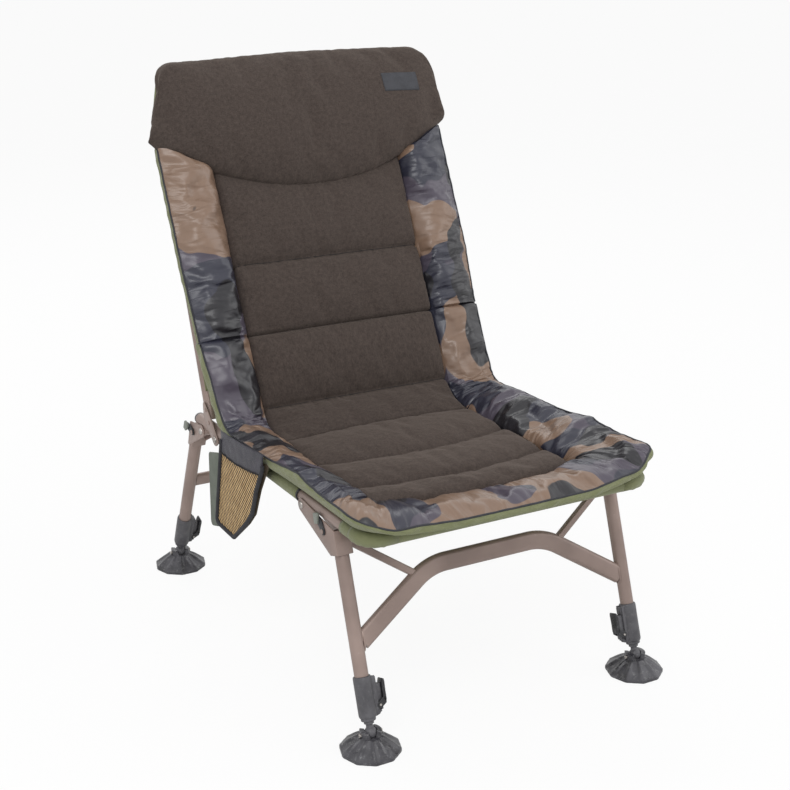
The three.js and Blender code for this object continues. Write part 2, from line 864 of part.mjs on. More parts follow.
const back = new THREE.Group();
chair.add(back);
add(back, 'back_pad_centre', backPad(-seamHalfWidth + seamGap, seamHalfWidth - seamGap, 10, 8), 'fleece');
for (const [name, side] of Object.entries(sides)) {
  const [x0, x1] = spanOn(side, seamHalfWidth, padHalfWidth);
  add(back, `back_border_${name}`, backPad(x0, x1, 6, 8), 'camo');
}
add(back, 'headrest_pad', headrest(), 'fleece');

// The fold section of the mattress, between the seat pads and the back pads
function foldSection() {
  const seatEnd = new THREE.Vector3(0, seatRearY + seamGap, seatSeamZ);
  const path = [
    seatEnd,
    new THREE.Vector3(0, seatRearY + foldDepthY, seatSeamZ + foldRise),
    new THREE.Vector3(0, seatRearY + foldKneeY, seatSeamZ + foldKneeRise),
    onPadPlane(0, foldChannel, 0),
    onPadPlane(0, foldMiddle, 0),
    onPadPlane(0, backPadBottom - seamGap, 0),
  ];
  const leanShares = [0, 0.2, 0.62, 1, 1, 1];
  const lastRow = path.length - 1;
  const columnShares = [0, 0.0275, 0.055, 0.08, 0.11, 0.14, 0.172, 0.24, 0.32, 0.41, 0.5];
  const allShares = [...columnShares, ...columnShares.slice(0, -1).map((s) => 1 - s).reverse()];
  const place = (u, v, seatZ, backOffset, power) => {
    const row = Math.round(v * lastRow);
    const widest = mix(-padHalfWidth, padHalfWidth, allShares[Math.round(u * (allShares.length - 1))]);
    const beyond = Math.max(Math.abs(widest) - seamHalfWidth, 0) / (padHalfWidth - seamHalfWidth);
    const x = Math.sign(widest) * (Math.abs(widest) - beyond * (1 - v ** 3) * seatNarrowing);
    const lean = (Math.PI / 2 - padLean) * leanShares[row];
    const start = seatZ(x) - seatSeamZ;
    const offset = mix(start, backOffset(x), v ** power);
    return new THREE.Vector3(x, path[row].y - offset * Math.sin(lean), path[row].z + offset * Math.cos(lean));
  };
  const centreOrBorder = (x) => (
    Math.abs(x) < seamHalfWidth ? centreTopZ(x, 0) : borderTopZ(x, seatRearY)
  );
  return cushion(
    allShares.length - 1,
    lastRow,
    (u, v) => place(u, v, centreOrBorder, (x) => backFrontOffset(x, 0), 1),
    (u, v) => place(u, v, underAtFold, (x) => backRearOffset(x, backPadBottom), 1.5),
  );
}

function underAtFold(x) {
  return Math.abs(x) < seamHalfWidth ? slingHeight(x, seatRearY) + seamGap : padUnderZ(x, seatRearY);
}

add(chair, 'pad_fold_section', foldSection(), 'fleece');

// Back frame: tubes, top bar, hinge straps and sling
function backTubePoint(x, z) {
  return new THREE.Vector3(x, backTubeBottomY + (z - backTubeBottomZ) * Math.tan(backTubeLean), z);
}

for (const [name, side] of Object.entries(sides)) {
  const foot = backTubePoint(side * backTubeX, backTubeBottomZ);
  const corner = backTubePoint(side * backTubeX, backTubeTopZ);
  const top = backTubePoint(side * (backTubeX - backCornerRadius - cornerStub), backTubeTopZ);
  const stations = roundedCorner(foot, corner, top, backCornerRadius, 4);
  add(back, `back_tube_${name}`, tube(stations, railRadius), 'frame');
  const [x0, x1] = spanOn(side, cheekOuterX, cheekOuterX + plateThickness);
  const outline = hull([
    ...circle(lobeRadius, tubeSides, backPivotY, backPivotZ),
    ...circle(strapTipHalfWidth, boltSides, strapTipY - strapTipHalfWidth, strapTipZ - strapTipHalfWidth),
    new THREE.Vector2(strapFrontY, strapFrontZ),
    new THREE.Vector2(strapRearY, strapRearZ),
  ]);
  const holes = [circle(boltHoleRadius, boltSides, backPivotY, backPivotZ)];
  add(back, `back_hinge_strap_${name}`, alongX(shapeOf(outline, holes), x0, x1), 'frame');
}
const topBarEnd = backTubeX - backCornerRadius - cornerStub - weldGap;
add(back, 'back_top_bar', straightTube(
  backTubePoint(-topBarEnd, backTubeTopZ),
  backTubePoint(topBarEnd, backTubeTopZ),
  railRadius,
), 'frame');

function arcPoints(radius, startAngle, endAngle, steps) {
  const points = [];
  for (let i = 0; i <= steps; i += 1) {
    const angle = mix(startAngle, endAngle, i / steps);
    points.push(new THREE.Vector2(backTubeX + radius * Math.cos(angle), radius * Math.sin(angle)));
  }
  return points;
}

function backSling() {
  const openAngle = THREE.MathUtils.degToRad(55);
  const closeAngle = THREE.MathUtils.degToRad(195);
  const sheetAngle = Math.asin(slingThickness / 2 / sleeveOuter);
  const above = arcPoints(sleeveOuter, openAngle, Math.PI - sheetAngle, 10);
  const below = arcPoints(sleeveOuter, Math.PI + sheetAngle, closeAngle, 1);
  const within = arcPoints(sleeveInner, closeAngle, openAngle, 11);
  const half = [...above.slice(-1), ...below, ...within, ...above].slice(1);
  const mirrored = half.map((p) => new THREE.Vector2(-p.x, p.y)).reverse();
  return alongZ(shapeOf([...half, ...mirrored]), backSlingBottom, backSlingTop);
}

const slingMesh = add(back, 'back_sling', backSling(), 'olive');
const slingTurn = new THREE.Matrix4().makeRotationX(-backTubeLean);
slingTurn.multiply(new THREE.Matrix4().makeScale(-1, -1, 1));
slingTurn.setPosition(0, backTubeBottomY, backTubeBottomZ);
slingMesh.geometry.applyMatrix4(slingTurn);

// Bolts: a shank with a round head outside and a nut inside
function pivotBolt(side, y, z, nutFaceX) {
  const outsideX = cheekOuterX + plateThickness + weldGap;
  const shank = spanOn(side, nutFaceX - nutLength, outsideX + boltHeadLength);
  const head = spanOn(side, outsideX, outsideX + boltHeadLength);
  const nut = spanOn(side, nutFaceX - nutLength, nutFaceX - weldGap);
  return joined(
    rodAlongX(boltRadius, ...shank, y, z),
    rodAlongX(boltHeadRadius, ...head, y, z, tubeSides),
    rodAlongX(nutRadius, ...nut, y, z, 6),
  );
}

const legNutFaceX = cheekInnerX - plateThickness;
const lugNutFaceX = railX - lugHalfWidth;
for (const [name, side] of Object.entries(sides)) {
  add(chair, `front_pivot_bolt_${name}`, pivotBolt(side, frontPivotY, frontPivotZ, legNutFaceX), 'bolt');
  add(chair, `rear_pivot_bolt_${name}`, pivotBolt(side, rearPivotY, rearPivotZ, legNutFaceX), 'bolt');
  add(chair, `back_pivot_bolt_${name}`, pivotBolt(side, backPivotY, backPivotZ, lugNutFaceX), 'bolt');
}

// Leg frames: each group stands at the leg tops, with -Z down the legs
function legFrame(topY, topZ, splay) {
  const frame = new THREE.Group();
  frame.position.set(0, topY, topZ);
  frame.rotation.x = splay;
  chair.add(frame);
  frame.updateMatrixWorld();
  const inverse = frame.matrixWorld.clone().invert();
  const local = (y, z) => {
    const point = new THREE.Vector3(0, y, z).applyMatrix4(inverse);
    return new THREE.Vector2(point.y, point.z);
  };
  return { frame, local };
}

const frontLegs = legFrame(frontLegTopY, frontLegTopZ, frontSplay);
const rearLegs = legFrame(rearLegTopY, rearLegTopZ, rearSplay);

function legTube(side, length) {
  const x = side * legX;
  return straightTube(
    new THREE.Vector3(x, 0, -length + collarStep + weldGap),
    new THREE.Vector3(x, 0, 0),
    legRadius,
  );
}

// Folded hinge bracket: two cheeks and a web in front of the leg, with the latch stud on the outer cheek
const webTop = 0;
const webBottom = -37;
const bracketReach = legRadius + runningGap + plateThickness;

function foldedBracket(side, pivot, corners, stud) {
  const outline = hull([...circle(lobeRadius, tubeSides, pivot.x, pivot.y), ...corners]);
  const holes = [circle(boltHoleRadius, boltSides, pivot.x, pivot.y)];
  const cheeks = [cheekOuterX, cheekInnerX - plateThickness].map((x) => {
    return alongX(shapeOf(outline, holes), ...spanOn(side, x, x + plateThickness));
  });
  const [webX0, webX1] = spanOn(side, cheekInnerX - plateThickness / 2, cheekOuterX + plateThickness / 2);
  const web = block(webX0, webX1, -bracketReach, -bracketReach + plateThickness, webBottom, webTop);
  const outside = cheekOuterX + plateThickness;
  const studHead = outside + weldGap + latchThickness + weldGap;
  const shank = spanOn(side, outside - plateThickness / 2, studHead + studHeadLength);
  const head = spanOn(side, studHead, studHead + studHeadLength);
  return joined(
    ...cheeks,
    web,
    rodAlongX(studRadius, ...shank, stud.x, stud.y),
    rodAlongX(studHeadRadius, ...head, stud.x, stud.y),
  );
}

const frontPivot = frontLegs.local(frontPivotY, frontPivotZ);
const rearPivot = rearLegs.local(rearPivotY, rearPivotZ);
const frontStud = frontLegs.local(frontStudY, frontStudZ);
const rearStud = rearLegs.local(rearStudY, rearStudZ);
const frontBracketCorners = [
  new THREE.Vector2(-bracketReach, webTop + plateThickness),
  new THREE.Vector2(-bracketReach, webBottom),
  new THREE.Vector2(bracketReach, webBottom),
];
const rearBracketCorners = [
  new THREE.Vector2(-bracketReach, webTop),
  new THREE.Vector2(legRadius / 2, webTop + lobeRadius),
  new THREE.Vector2(0, webBottom - plateThickness),
  new THREE.Vector2(-legRadius / 2, webBottom),
];

// Lock latches: an eye on the stud and a thumb tab
function latch(side, stud, angle, splay) {
  const direction = new THREE.Vector2(1, 0).rotateAround(new THREE.Vector2(), angle - splay);
  const tab = stud.clone().addScaledVector(direction, latchLength);
  const plate = hull([
    ...circle(latchEyeRadius, boltSides, stud.x, stud.y),
    ...circle(latchTabRadius, boltSides, tab.x, tab.y),
  ]);
  const near = cheekOuterX + plateThickness + weldGap;
  const holes = [circle(studRadius + weldGap, boltSides, stud.x, stud.y)];
  return joined(
    alongX(shapeOf(plate, holes), ...spanOn(side, near, near + latchThickness)),
    rodAlongX(latchTabRadius, ...spanOn(side, near, near + latchTabThickness), tab.x, tab.y),
  );
}

function addBracket(legs, end, name, side, pivot, corners, stud) {
  add(legs.frame, `${end}_bracket_${name}`, foldedBracket(side, pivot, corners, stud), 'frame');
}

for (const [name, side] of Object.entries(sides)) {
  add(frontLegs.frame, `front_leg_tube_${name}`, legTube(side, frontLegLength), 'frame');
  add(rearLegs.frame, `rear_leg_tube_${name}`, legTube(side, rearLegLength), 'frame');
  addBracket(frontLegs, 'front', name, side, frontPivot, frontBracketCorners, frontStud);
  addBracket(rearLegs, 'rear', name, side, rearPivot, rearBracketCorners, rearStud);
  const frontLatch = latch(side, frontStud, frontLatchAngle, frontSplay);
  const rearLatch = latch(side, rearStud, rearLatchAngle, rearSplay);
  add(frontLegs.frame, `front_latch_${name}`, frontLatch, 'plastic');
  add(rearLegs.frame, `rear_latch_${name}`, rearLatch, 'plastic');
}

// Front arch with its two braces, coped to the legs
function frontArch() {
  const endX = legX - legRadius / 2;
  const slope = (archEndDrop - archDrop) / (legX - legRadius - archSlopeStartX);
  const outer = new THREE.Vector3(-endX, 0, -archDrop - slope * (endX - archSlopeStartX));
  const knee = new THREE.Vector3(-archSlopeStartX, 0, -archDrop);
  const middle = new THREE.Vector3(0, 0, -archDrop);
  const half = roundedCorner(outer, knee, middle, archBendRadius, 5);
  const mirrored = half.slice(0, -1).reverse().map((p) => new THREE.Vector3(-p.x, p.y, p.z));
  const stations = [...half, ...mirrored];
  const bar = runAlong(stations, oval(archDepth, archHeight, boltSides));
  const core = oval(archDepth - 2 * archWall, archHeight - 2 * archWall, boltSides);
  const bore = runAlong(stations, core);
  const legCuts = Object.values(sides).map((side) => {
    return alongZ(shapeOf(circle(legRadius + weldGap, tubeSides, side * legX, 0)), -frontLegLength, 0);
  });
  const braces = Object.values(sides).map((side) => archBrace(side));
  return cut(joined(cut(bar, bore), ...braces.map((brace) => cut(brace, bore))), ...legCuts);
}

function archBrace(side) {
  const topX = cheekInnerX - plateThickness - weldGap;
  const rise = braceFootDrop - braceTopDrop;
  const length = Math.hypot(topX - braceFootX, rise);
  const half = braceSize / 2;
  const lean = Math.atan2(rise, topX - braceFootX);
  const top = [topX, -braceTopDrop];
  const along = (distance, aside) => new THREE.Vector2(
    side * (top[0] - distance * Math.cos(lean) + aside * Math.sin(lean)),
    top[1] - distance * Math.sin(lean) - aside * Math.cos(lean),
  );
  const outline = [
    new THREE.Vector2(side * topX, -braceTopDrop + half / Math.cos(lean)),
    along(length, -half),
    along(length, half),
    new THREE.Vector2(side * topX, -braceTopDrop - half / Math.cos(lean)),
  ];
  return alongY(shapeOf(side > 0 ? outline : outline.reverse()), -half, half);
}

add(frontLegs.frame, 'front_arch', frontArch(), 'frame');

// Rear crossbar between the rear legs
function rearCrossbar() {
  const endX = legX - legRadius / 2;
  const outline = oval(crossbarDepth, crossbarHeight, boltSides)
    .map((p) => new THREE.Vector2(p.x, p.y - crossbarDrop));
  const core = oval(crossbarDepth - 2 * archWall, crossbarHeight - 2 * archWall, boltSides)
    .map((p) => new THREE.Vector2(p.x, p.y - crossbarDrop));
  const legCuts = Object.values(sides).map((side) => {
    return alongZ(shapeOf(circle(legRadius + weldGap, tubeSides, side * legX, 0)), -rearLegLength, 0);
  });
  return cut(alongX(shapeOf(outline, [core]), -endX, endX), ...legCuts);
}

add(rearLegs.frame, 'rear_crossbar', rearCrossbar(), 'frame');

// Leg ends: each group has its origin at the ball, +Z up the leg and +X towards the middle of the chair
function lathed(profile, count = latheSides) {
  const points = profile.map(([radius, height]) => new THREE.Vector2(radius, height));
  return new THREE.LatheGeometry(points, count).rotateX(Math.PI / 2);
}

function ballProfile(steps) {
  const endAngle = Math.acos(neckRadius / ballRadius);
  const points = [[0, -ballRadius]];
  for (let i = 1; i <= steps; i += 1) {
    const angle = mix(-Math.PI / 2, endAngle, i / steps);
    points.push([ballRadius * Math.cos(angle), ballRadius * Math.sin(angle)]);
  }
  return points;
}

function innerLeg() {
  const profile = [
    ...ballProfile(5),
    [neckRadius, neckHeight],
    [innerLegRadius, neckHeight + innerLegRadius - neckRadius],
    [innerLegRadius, innerLegLength],
    [innerLegBore, innerLegLength],
    [innerLegBore, innerLegSolidEnd],
    [0, innerLegSolidEnd],
  ];
  const pinBore = rodAlongX(footPinRadius + weldGap, -cutOverrun, cutOverrun, 0, 0);
  return cut(lathed(profile), pinBore);
}

function collar() {
  const bore = innerLegRadius + weldGap;
  const socket = legRadius + weldGap;
  const body = lathed([
    [0, collarBottom],
    [collarNoseRadius, collarBottom],
    [collarRadius, collarShoulder],
    [collarRadius, collarTop - collarTopBevel],
    [collarTopRadius, collarTop],
    [0, collarTop],
  ]);
  const clamp = block(0, clampReach, -clampHalfWidth, clampHalfWidth, clampBottom, clampTop);
  const pin = alongY(
    shapeOf(circle(leverPinRadius, boltSides, leverPinReach, leverPinHeight)),
    -leverPinHalfLength,
    leverPinHalfLength,
  );
  const boreTool = alongZ(shapeOf(circle(bore, tubeSides)), 0, collarTop + cutOverrun);
  const socketTool = alongZ(shapeOf(circle(socket, tubeSides)), collarStep, collarTop + cutOverrun);
  return cut(joined(body, clamp, pin), boreTool, socketTool);
}

function camLever() {
  const near = clampReach + 2 * runningGap;
  const arm = hull([
    new THREE.Vector2(near, leverBaseHeight),
    new THREE.Vector2(near + leverThickness, leverBaseHeight),
    ...circle(
      leverThickness / 2,
      boltSides,
      near + leverThickness / 2 + leverLean,
      leverTopHeight - leverThickness / 2,
    ),
  ]);
  const eye = hull([
    ...circle(leverEyeRadius, boltSides, leverPinReach, leverPinHeight),
    new THREE.Vector2(near, leverBaseHeight + leverEyeRadius),
    new THREE.Vector2(near + leverThickness, leverBaseHeight + leverEyeRadius),
    new THREE.Vector2(near + leverThickness, leverPinHeight),
  ]);
  const innerFace = clampHalfWidth + 2 * runningGap;
  const pinHole = alongY(
    shapeOf(circle(leverPinRadius + weldGap, boltSides, leverPinReach, leverPinHeight)),
    -cutOverrun,
    cutOverrun,
  );
  return cut(
    joined(
      alongY(shapeOf(arm), -leverHalfWidth, leverHalfWidth),
      alongY(shapeOf(eye), innerFace, leverHalfWidth),
      alongY(shapeOf(eye), -leverHalfWidth, -innerFace),
    ),
    pinHole,
  );
}

function mudFoot() {
  const disc = lathed([
    [0, 0],
    [footRadius, 0],
    [footRadius, footRimHeight],
    [mix(footHubRadius, footRadius, 0.45), mix(footRimHeight, footConeHeight, 0.4)],
    [footHubRadius, footConeHeight],
    [footHubRadius, footHubHeight],
    [0, footHubHeight],
  ], footSides);
  const positions = disc.getAttribute('position');
  for (let i = 0; i < positions.count; i += 1) {
    const radius = Math.hypot(positions.getX(i), positions.getY(i));
    const angle = Math.atan2(positions.getY(i), positions.getX(i));
    const outward = clampShare((radius - footHubRadius) / (footRadius - footHubRadius));
    const dent = footScallop * outward * (0.5 - 0.5 * Math.cos(footLobes * angle));
    const kept = radius > 0 ? (radius - dent) / radius : 1;
    positions.setXY(i, positions.getX(i) * kept, positions.getY(i) * kept);
  }
  const socket = new THREE.SphereGeometry(ballRadius + weldGap, latheSides, boltSides)
    .translate(0, 0, ballHeight);
  const pin = rodAlongX(footPinRadius, -footPinHalfLength, footPinHalfLength, 0, ballHeight);
  return joined(cut(disc, socket), pin);
}

function addLegEnd(legs, end, name, side, length, footY) {
  const legEnd = new THREE.Group();
  legEnd.position.set(side * legX, 0, -length);
  legEnd.rotation.z = side > 0 ? Math.PI : 0;
  legs.frame.add(legEnd);
  add(legEnd, `${end}_inner_leg_${name}`, innerLeg(), 'frame');
  add(legEnd, `${end}_collar_${name}`, collar(), 'plastic');
  add(legEnd, `${end}_cam_lever_${name}`, camLever(), 'plastic');
  const foot = add(chair, `${end}_foot_${name}`, mudFoot(), 'foot');
  foot.position.set(side * legX, footY, 0);
}

for (const [name, side] of Object.entries(sides)) {
  addLegEnd(frontLegs, 'front', name, side, frontLegLength, frontFootY);
  addLegEnd(rearLegs, 'rear', name, side, rearLegLength, rearFootY);
}

// Side pocket on the left: a cloth back with a side tab, and a net that leans out towards its mouth
function pocketOutline(inset) {
  const corners = [
    [pocketTopRearY, pocketTopRearZ],
    [pocketLowRearY, pocketLowRearZ],
    [pocketBottomRearY, pocketBottomRearZ],
    [pocketTipY, pocketTipZ],
    [pocketLowFrontY, pocketLowFrontZ],
    [pocketMidFrontY, pocketMidFrontZ],
    [pocketBendFrontY, pocketBendFrontZ],
    [pocketTopFrontY, pocketTopFrontZ],
  ].map(([y, z]) => new THREE.Vector2(y, z));
  const centre = corners.reduce((sum, p) => sum.add(p), new THREE.Vector2()).divideScalar(corners.length);
  return corners.map((p) => {
    const away = p.clone().sub(centre);
    return centre.clone().addScaledVector(away, 1 - inset / away.length());
  });
}

function inside(outline, point) {
  let crossings = 0;
  outline.forEach((p, i) => {
    const q = outline[(i + 1) % outline.length];
    const spans = (p.y > point.y) !== (q.y > point.y);
    if (spans && point.x < p.x + ((point.y - p.y) * (q.x - p.x)) / (q.y - p.y)) crossings += 1;
  });
  return crossings % 2 === 1;
}

function pocketBack() {
  const tab = [
    new THREE.Vector2(tabFrontY, tabTopZ),
    new THREE.Vector2(tabRearY, tabTopZ),
    ...roundedCorner(
      new THREE.Vector3(tabRearY, tabTopZ, 0),
      new THREE.Vector3(tabRearY, tabBottomZ, 0),
      new THREE.Vector3(tabFrontY, tabBottomZ, 0),
      tabCornerRadius,
      5,
    ).slice(1, -1).map((p) => new THREE.Vector2(p.x, p.y)),
    new THREE.Vector2(tabFrontY, tabBottomZ),
  ];
  return joined(
    alongX(shapeOf(pocketOutline(0)), -pocketX - pocketThickness, -pocketX),
    alongX(shapeOf(tab), -pocketX - pocketThickness, -pocketX),
  );
}

function pocketNet() {
  const outline = pocketOutline(0);
  const field = pocketOutline(pocketBinding);
  const hemZ = (y) => {
    const share = (y - pocketTopRearY) / (pocketTopFrontY - pocketTopRearY);
    return mix(pocketTopRearZ, pocketTopFrontZ, share) - pocketHemHeight;
  };
  const holes = [];
  const rows = Math.ceil((pocketTopFrontZ - pocketTipZ) / netPitch) * 2;
  const columns = Math.ceil((pocketBottomRearY - pocketTopFrontY) / netPitch) + 2;
  const slant = Math.atan2(pocketTopFrontZ - pocketTopRearZ, pocketTopFrontY - pocketTopRearY);
  const start = new THREE.Vector2(pocketTopFrontY, pocketTopFrontZ);
  const origin = new THREE.Vector2();
  for (let row = 0; row <= rows; row += 1) {
    for (let column = -columns; column <= columns; column += 1) {
      const shift = row % 2 ? netPitch / 2 : 0;
      const centre = new THREE.Vector2(start.x + column * netPitch + shift, start.y - row * netPitch / 2);
      const hole = circle(netHole / 2, 4)
        .map((corner) => new THREE.Vector2(corner.x, corner.y * netHoleSquash).rotateAround(origin, netHoleTwist))
        .map((corner) => corner.add(centre).rotateAround(start, slant - Math.PI));
      if (hole.every((corner) => inside(field, corner) && corner.y < hemZ(corner.x))) holes.push(hole);
    }
  }
  const near = pocketX + pocketThickness + runningGap;
  const sheet = alongX(shapeOf(outline, holes), -near - netThickness, -near);
  const positions = sheet.getAttribute('position');
  const height = pocketTopFrontZ - pocketTipZ;
  for (let i = 0; i < positions.count; i += 1) {
    const lean = netLean * clampShare((positions.getZ(i) - pocketTipZ) / height);
    positions.setX(i, positions.getX(i) - lean);
  }
  return sheet;
}

add(chair, 'pocket_back', pocketBack(), 'cloth');
add(chair, 'pocket_net', pocketNet(), 'mesh');

export default chair;
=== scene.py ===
import math

import bmesh
import bpy
import numpy
from mathutils import Matrix, Vector, noise
from mathutils.bvhtree import BVHTree


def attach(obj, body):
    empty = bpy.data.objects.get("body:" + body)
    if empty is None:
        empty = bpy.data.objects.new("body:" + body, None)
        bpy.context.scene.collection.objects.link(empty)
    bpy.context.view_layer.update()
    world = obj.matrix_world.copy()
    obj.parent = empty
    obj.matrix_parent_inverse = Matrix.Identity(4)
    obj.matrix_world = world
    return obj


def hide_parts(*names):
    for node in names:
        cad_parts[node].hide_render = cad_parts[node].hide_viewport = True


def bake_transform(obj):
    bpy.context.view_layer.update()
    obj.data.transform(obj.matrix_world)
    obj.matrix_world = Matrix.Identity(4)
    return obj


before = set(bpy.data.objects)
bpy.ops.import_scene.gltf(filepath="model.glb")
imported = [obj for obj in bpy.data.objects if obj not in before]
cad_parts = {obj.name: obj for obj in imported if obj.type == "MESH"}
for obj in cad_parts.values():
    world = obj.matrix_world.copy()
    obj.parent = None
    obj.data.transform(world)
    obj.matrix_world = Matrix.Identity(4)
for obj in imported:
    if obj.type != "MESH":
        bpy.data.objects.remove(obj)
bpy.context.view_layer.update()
mm = 0.001
sides = {"left": -1, "right": 1}
print("stage: frame loaded")


# camera, floor and light
camera = {
    "place": (-1210.8, -2109.85, 1229.84),
    "right": (0.8674754, -0.4974442, 0.0059739),
    "down": (-0.1535376, -0.2791323, -0.9478984),
    "forward": (0.4731941, 0.8213613, -0.3185168),
    "lens": 68.74,
    "sensor": 36.0,
}


def placed(name, data):
    thing = bpy.data.objects.new(name, data)
    bpy.context.scene.collection.objects.link(thing)
    return thing


def addCamera():
    lens = bpy.data.cameras.new("camera")
    lens.lens = camera["lens"]
    lens.sensor_width = camera["sensor"]
    lens.clip_end = 50
    eye = placed("camera", lens)
    up, behind = -Vector(camera["down"]), -Vector(camera["forward"])
    turn = Matrix((camera["right"], up, behind)).transposed()
    eye.matrix_world = Matrix.Translation(Vector(camera["place"]) * mm) @ turn.to_4x4()
    bpy.context.scene.camera = eye


lights = {
    "world": 0.62,
    "aim": (0, 0, 0.45),
    "key": {"place": (-1.9, -2.3, 3.2), "size": 2.2, "watts": 62},
    "fill": {"place": (2.6, -1.6, 2.2), "size": 2.6, "watts": 26},
    "rear": {"place": (0.4, 2.6, 3.0), "size": 2.2, "watts": 30},
}


def addLights():
    world = bpy.data.worlds.new("studio")
    bpy.context.scene.world = world
    world.use_nodes = True
    world.node_tree.nodes.clear()
    tree = Tree(world.node_tree)
    seen = tree.isRay("Camera").biggest(tree.isRay("Glossy"))
    lit = tree.node("ShaderNodeBackground", {}, {"Color": white, "Strength": lights["world"]})
    shown = tree.node("ShaderNodeBackground", {}, {"Color": white, "Strength": 1.0})
    blend = tree.node("ShaderNodeMixShader", {}, {0: seen, 1: lit, 2: shown})
    tree.node("ShaderNodeOutputWorld", {}, {"Surface": blend})
    for name in ("key", "fill", "rear"):
        facts = lights[name]
        lamp = bpy.data.lights.new(name, "AREA")
        lamp.size = facts["size"]
        lamp.energy = facts["watts"]
        holder = placed(name, lamp)
        holder.location = facts["place"]
        holder.rotation_euler = (Vector(lights["aim"]) - holder.location).to_track_quat("-Z", "Y").to_euler()
    bpy.context.scene.view_settings.view_transform = "Standard"


# materials
class Value:  # a node's output that takes part in Python sums
    def __init__(self, owner, socket):
        self.owner = owner
        self.socket = socket

    def sum(self, operation, first, second):
        return self.owner.node("ShaderNodeMath", {"operation": operation}, {0: first, 1: second})

    def __add__(self, other):
        return self.sum("ADD", self, other)

    def __radd__(self, other):
        return self.sum("ADD", other, self)

    def __sub__(self, other):
        return self.sum("SUBTRACT", self, other)

    def __rsub__(self, other):
        return self.sum("SUBTRACT", other, self)

    def __mul__(self, other):
        return self.sum("MULTIPLY", self, other)

    def __rmul__(self, other):
        return self.sum("MULTIPLY", other, self)

    def biggest(self, other):
        return self.sum("MAXIMUM", self, other)

    def between(self, low, high):  # 0 below low, 1 above high
        return self.owner.node("ShaderNodeMapRange", {"clamp": True}, {0: self, 1: low, 2: high})


class Tree:  # a node tree; node() makes any node from its type, settings and inputs
    def __init__(self, tree):
        self.tree = tree

    def node(self, kind, settings=None, inputs=None, output=0):
        made = self.tree.nodes.new(kind)
        for name, value in (settings or {}).items():
            setattr(made, name, value)
        for name, value in (inputs or {}).items():
            if isinstance(value, Value):
                self.tree.links.new(value.socket, made.inputs[name])
            else:
                made.inputs[name].default_value = value
        return Value(self, made.outputs[output] if made.outputs else None)

    def isRay(self, kind):
        return self.node("ShaderNodeLightPath", output=f"Is {kind} Ray")


class Finish(Tree):  # one material, built from nodes
    def __init__(self, name, **constants):
        self.material = bpy.data.materials.new(name)
        self.material.use_nodes = True
        super().__init__(self.material.node_tree)
        self.shader = self.tree.nodes["Principled BSDF"]
        for socket, value in constants.items():
            self.shader.inputs[socket.replace("_", " ")].default_value = value

    def colours(self, mask, first, second):
        return self.node("ShaderNodeMix", {"data_type": "RGBA"}, {0: mask, 6: first, 7: second}, 2)

    def mottled(self, mask, low, high, dark, light):
        return self.colours(mask.between(low, high), paint(dark), paint(light))

    def onCloth(self, turn=0.0):  # the cloth's own coordinates in metres
        uv = self.node("ShaderNodeUVMap", {"uv_map": "cloth"})
        return self.node("ShaderNodeMapping", {}, {0: uv, 2: (0, 0, turn)})

    def inSpace(self):  # the piece's coordinates in metres
        return self.node("ShaderNodeTexCoord", output="Object")

    def noise(self, where, scale, detail=2.0, roughness=0.5):
        inputs = {"Vector": where, "Scale": scale, "Detail": detail, "Roughness": roughness}
        return self.node("ShaderNodeTexNoise", {}, inputs)

    def bands(self, where, direction, scale, distortion=0.0):  # a wave node has 20 bands in 2 pi of its scale
        settings = {"wave_type": "BANDS", "bands_direction": direction}
        inputs = {"Vector": where, "Scale": scale, "Distortion": distortion}
        return self.node("ShaderNodeTexWave", settings, inputs, 1)

    def fineWeave(self, where, threads):
        return self.bands(where, "X", threads / 6.3).biggest(self.bands(where, "Y", threads / 6.3))

    def feed(self, socket, value):
        self.tree.links.new(value.socket, self.shader.inputs[socket])

    def bump(self, height, strength, distance):
        inputs = {"Height": height, "Strength": strength, "Distance": distance}
        self.feed("Normal", self.node("ShaderNodeBump", {}, inputs))


def paint(hexColour):
    parts = [int(hexColour[i:i + 2], 16) / 255 for i in (0, 2, 4)]
    return tuple([((c + 0.055) / 1.055) ** 2.4 if c > 0.04045 else c / 12.92 for c in parts] + [1.0])


white = (1, 1, 1, 1)


def powderCoat():
    look = {"light": "9c8981", "dark": "83726b", "worn": "b5a69b", "rough": 0.4}
    finish = Finish("taupePowderCoat", Roughness=look["rough"], Metallic=0.25, IOR=1.5)
    where = finish.inSpace()
    cloud = finish.noise(where, 9, 3)
    tone = finish.mottled(cloud, 0.35, 0.65, look["dark"], look["light"])
    scuffs = finish.noise(where, 140, 4, 0.7).between(0.66, 0.74) * cloud.between(0.45, 0.6) * 0.5
    finish.feed("Base Color", finish.colours(scuffs, tone, paint(look["worn"])))
    finish.feed("Roughness", finish.noise(where, 60).between(0.2, 0.8) * 0.16 + (look["rough"] - 0.08))
    finish.bump(finish.noise(where, 900), 0.12, 0.0004)
    return finish.material


def mouldedPlastic(name, light, dark, rough, wear=0.28):
    finish = Finish(name, Roughness=rough, IOR=1.48)
    where = finish.inSpace()
    cloud = finish.noise(where, 30, 4, 0.6)
    tone = finish.mottled(cloud, 0.35, 0.68, dark, light)
    dust = finish.noise(where, 160, 4, 0.7).between(0.55, 0.76) * wear
    finish.feed("Base Color", finish.colours(dust, tone, paint("8f8f90")))
    finish.feed("Roughness", cloud.between(0.3, 0.7) * 0.2 + (rough - 0.1))
    finish.bump(finish.noise(where, 1400) + finish.noise(where, 120, 3) * 0.5, 0.22, 0.0005)
    return finish.material


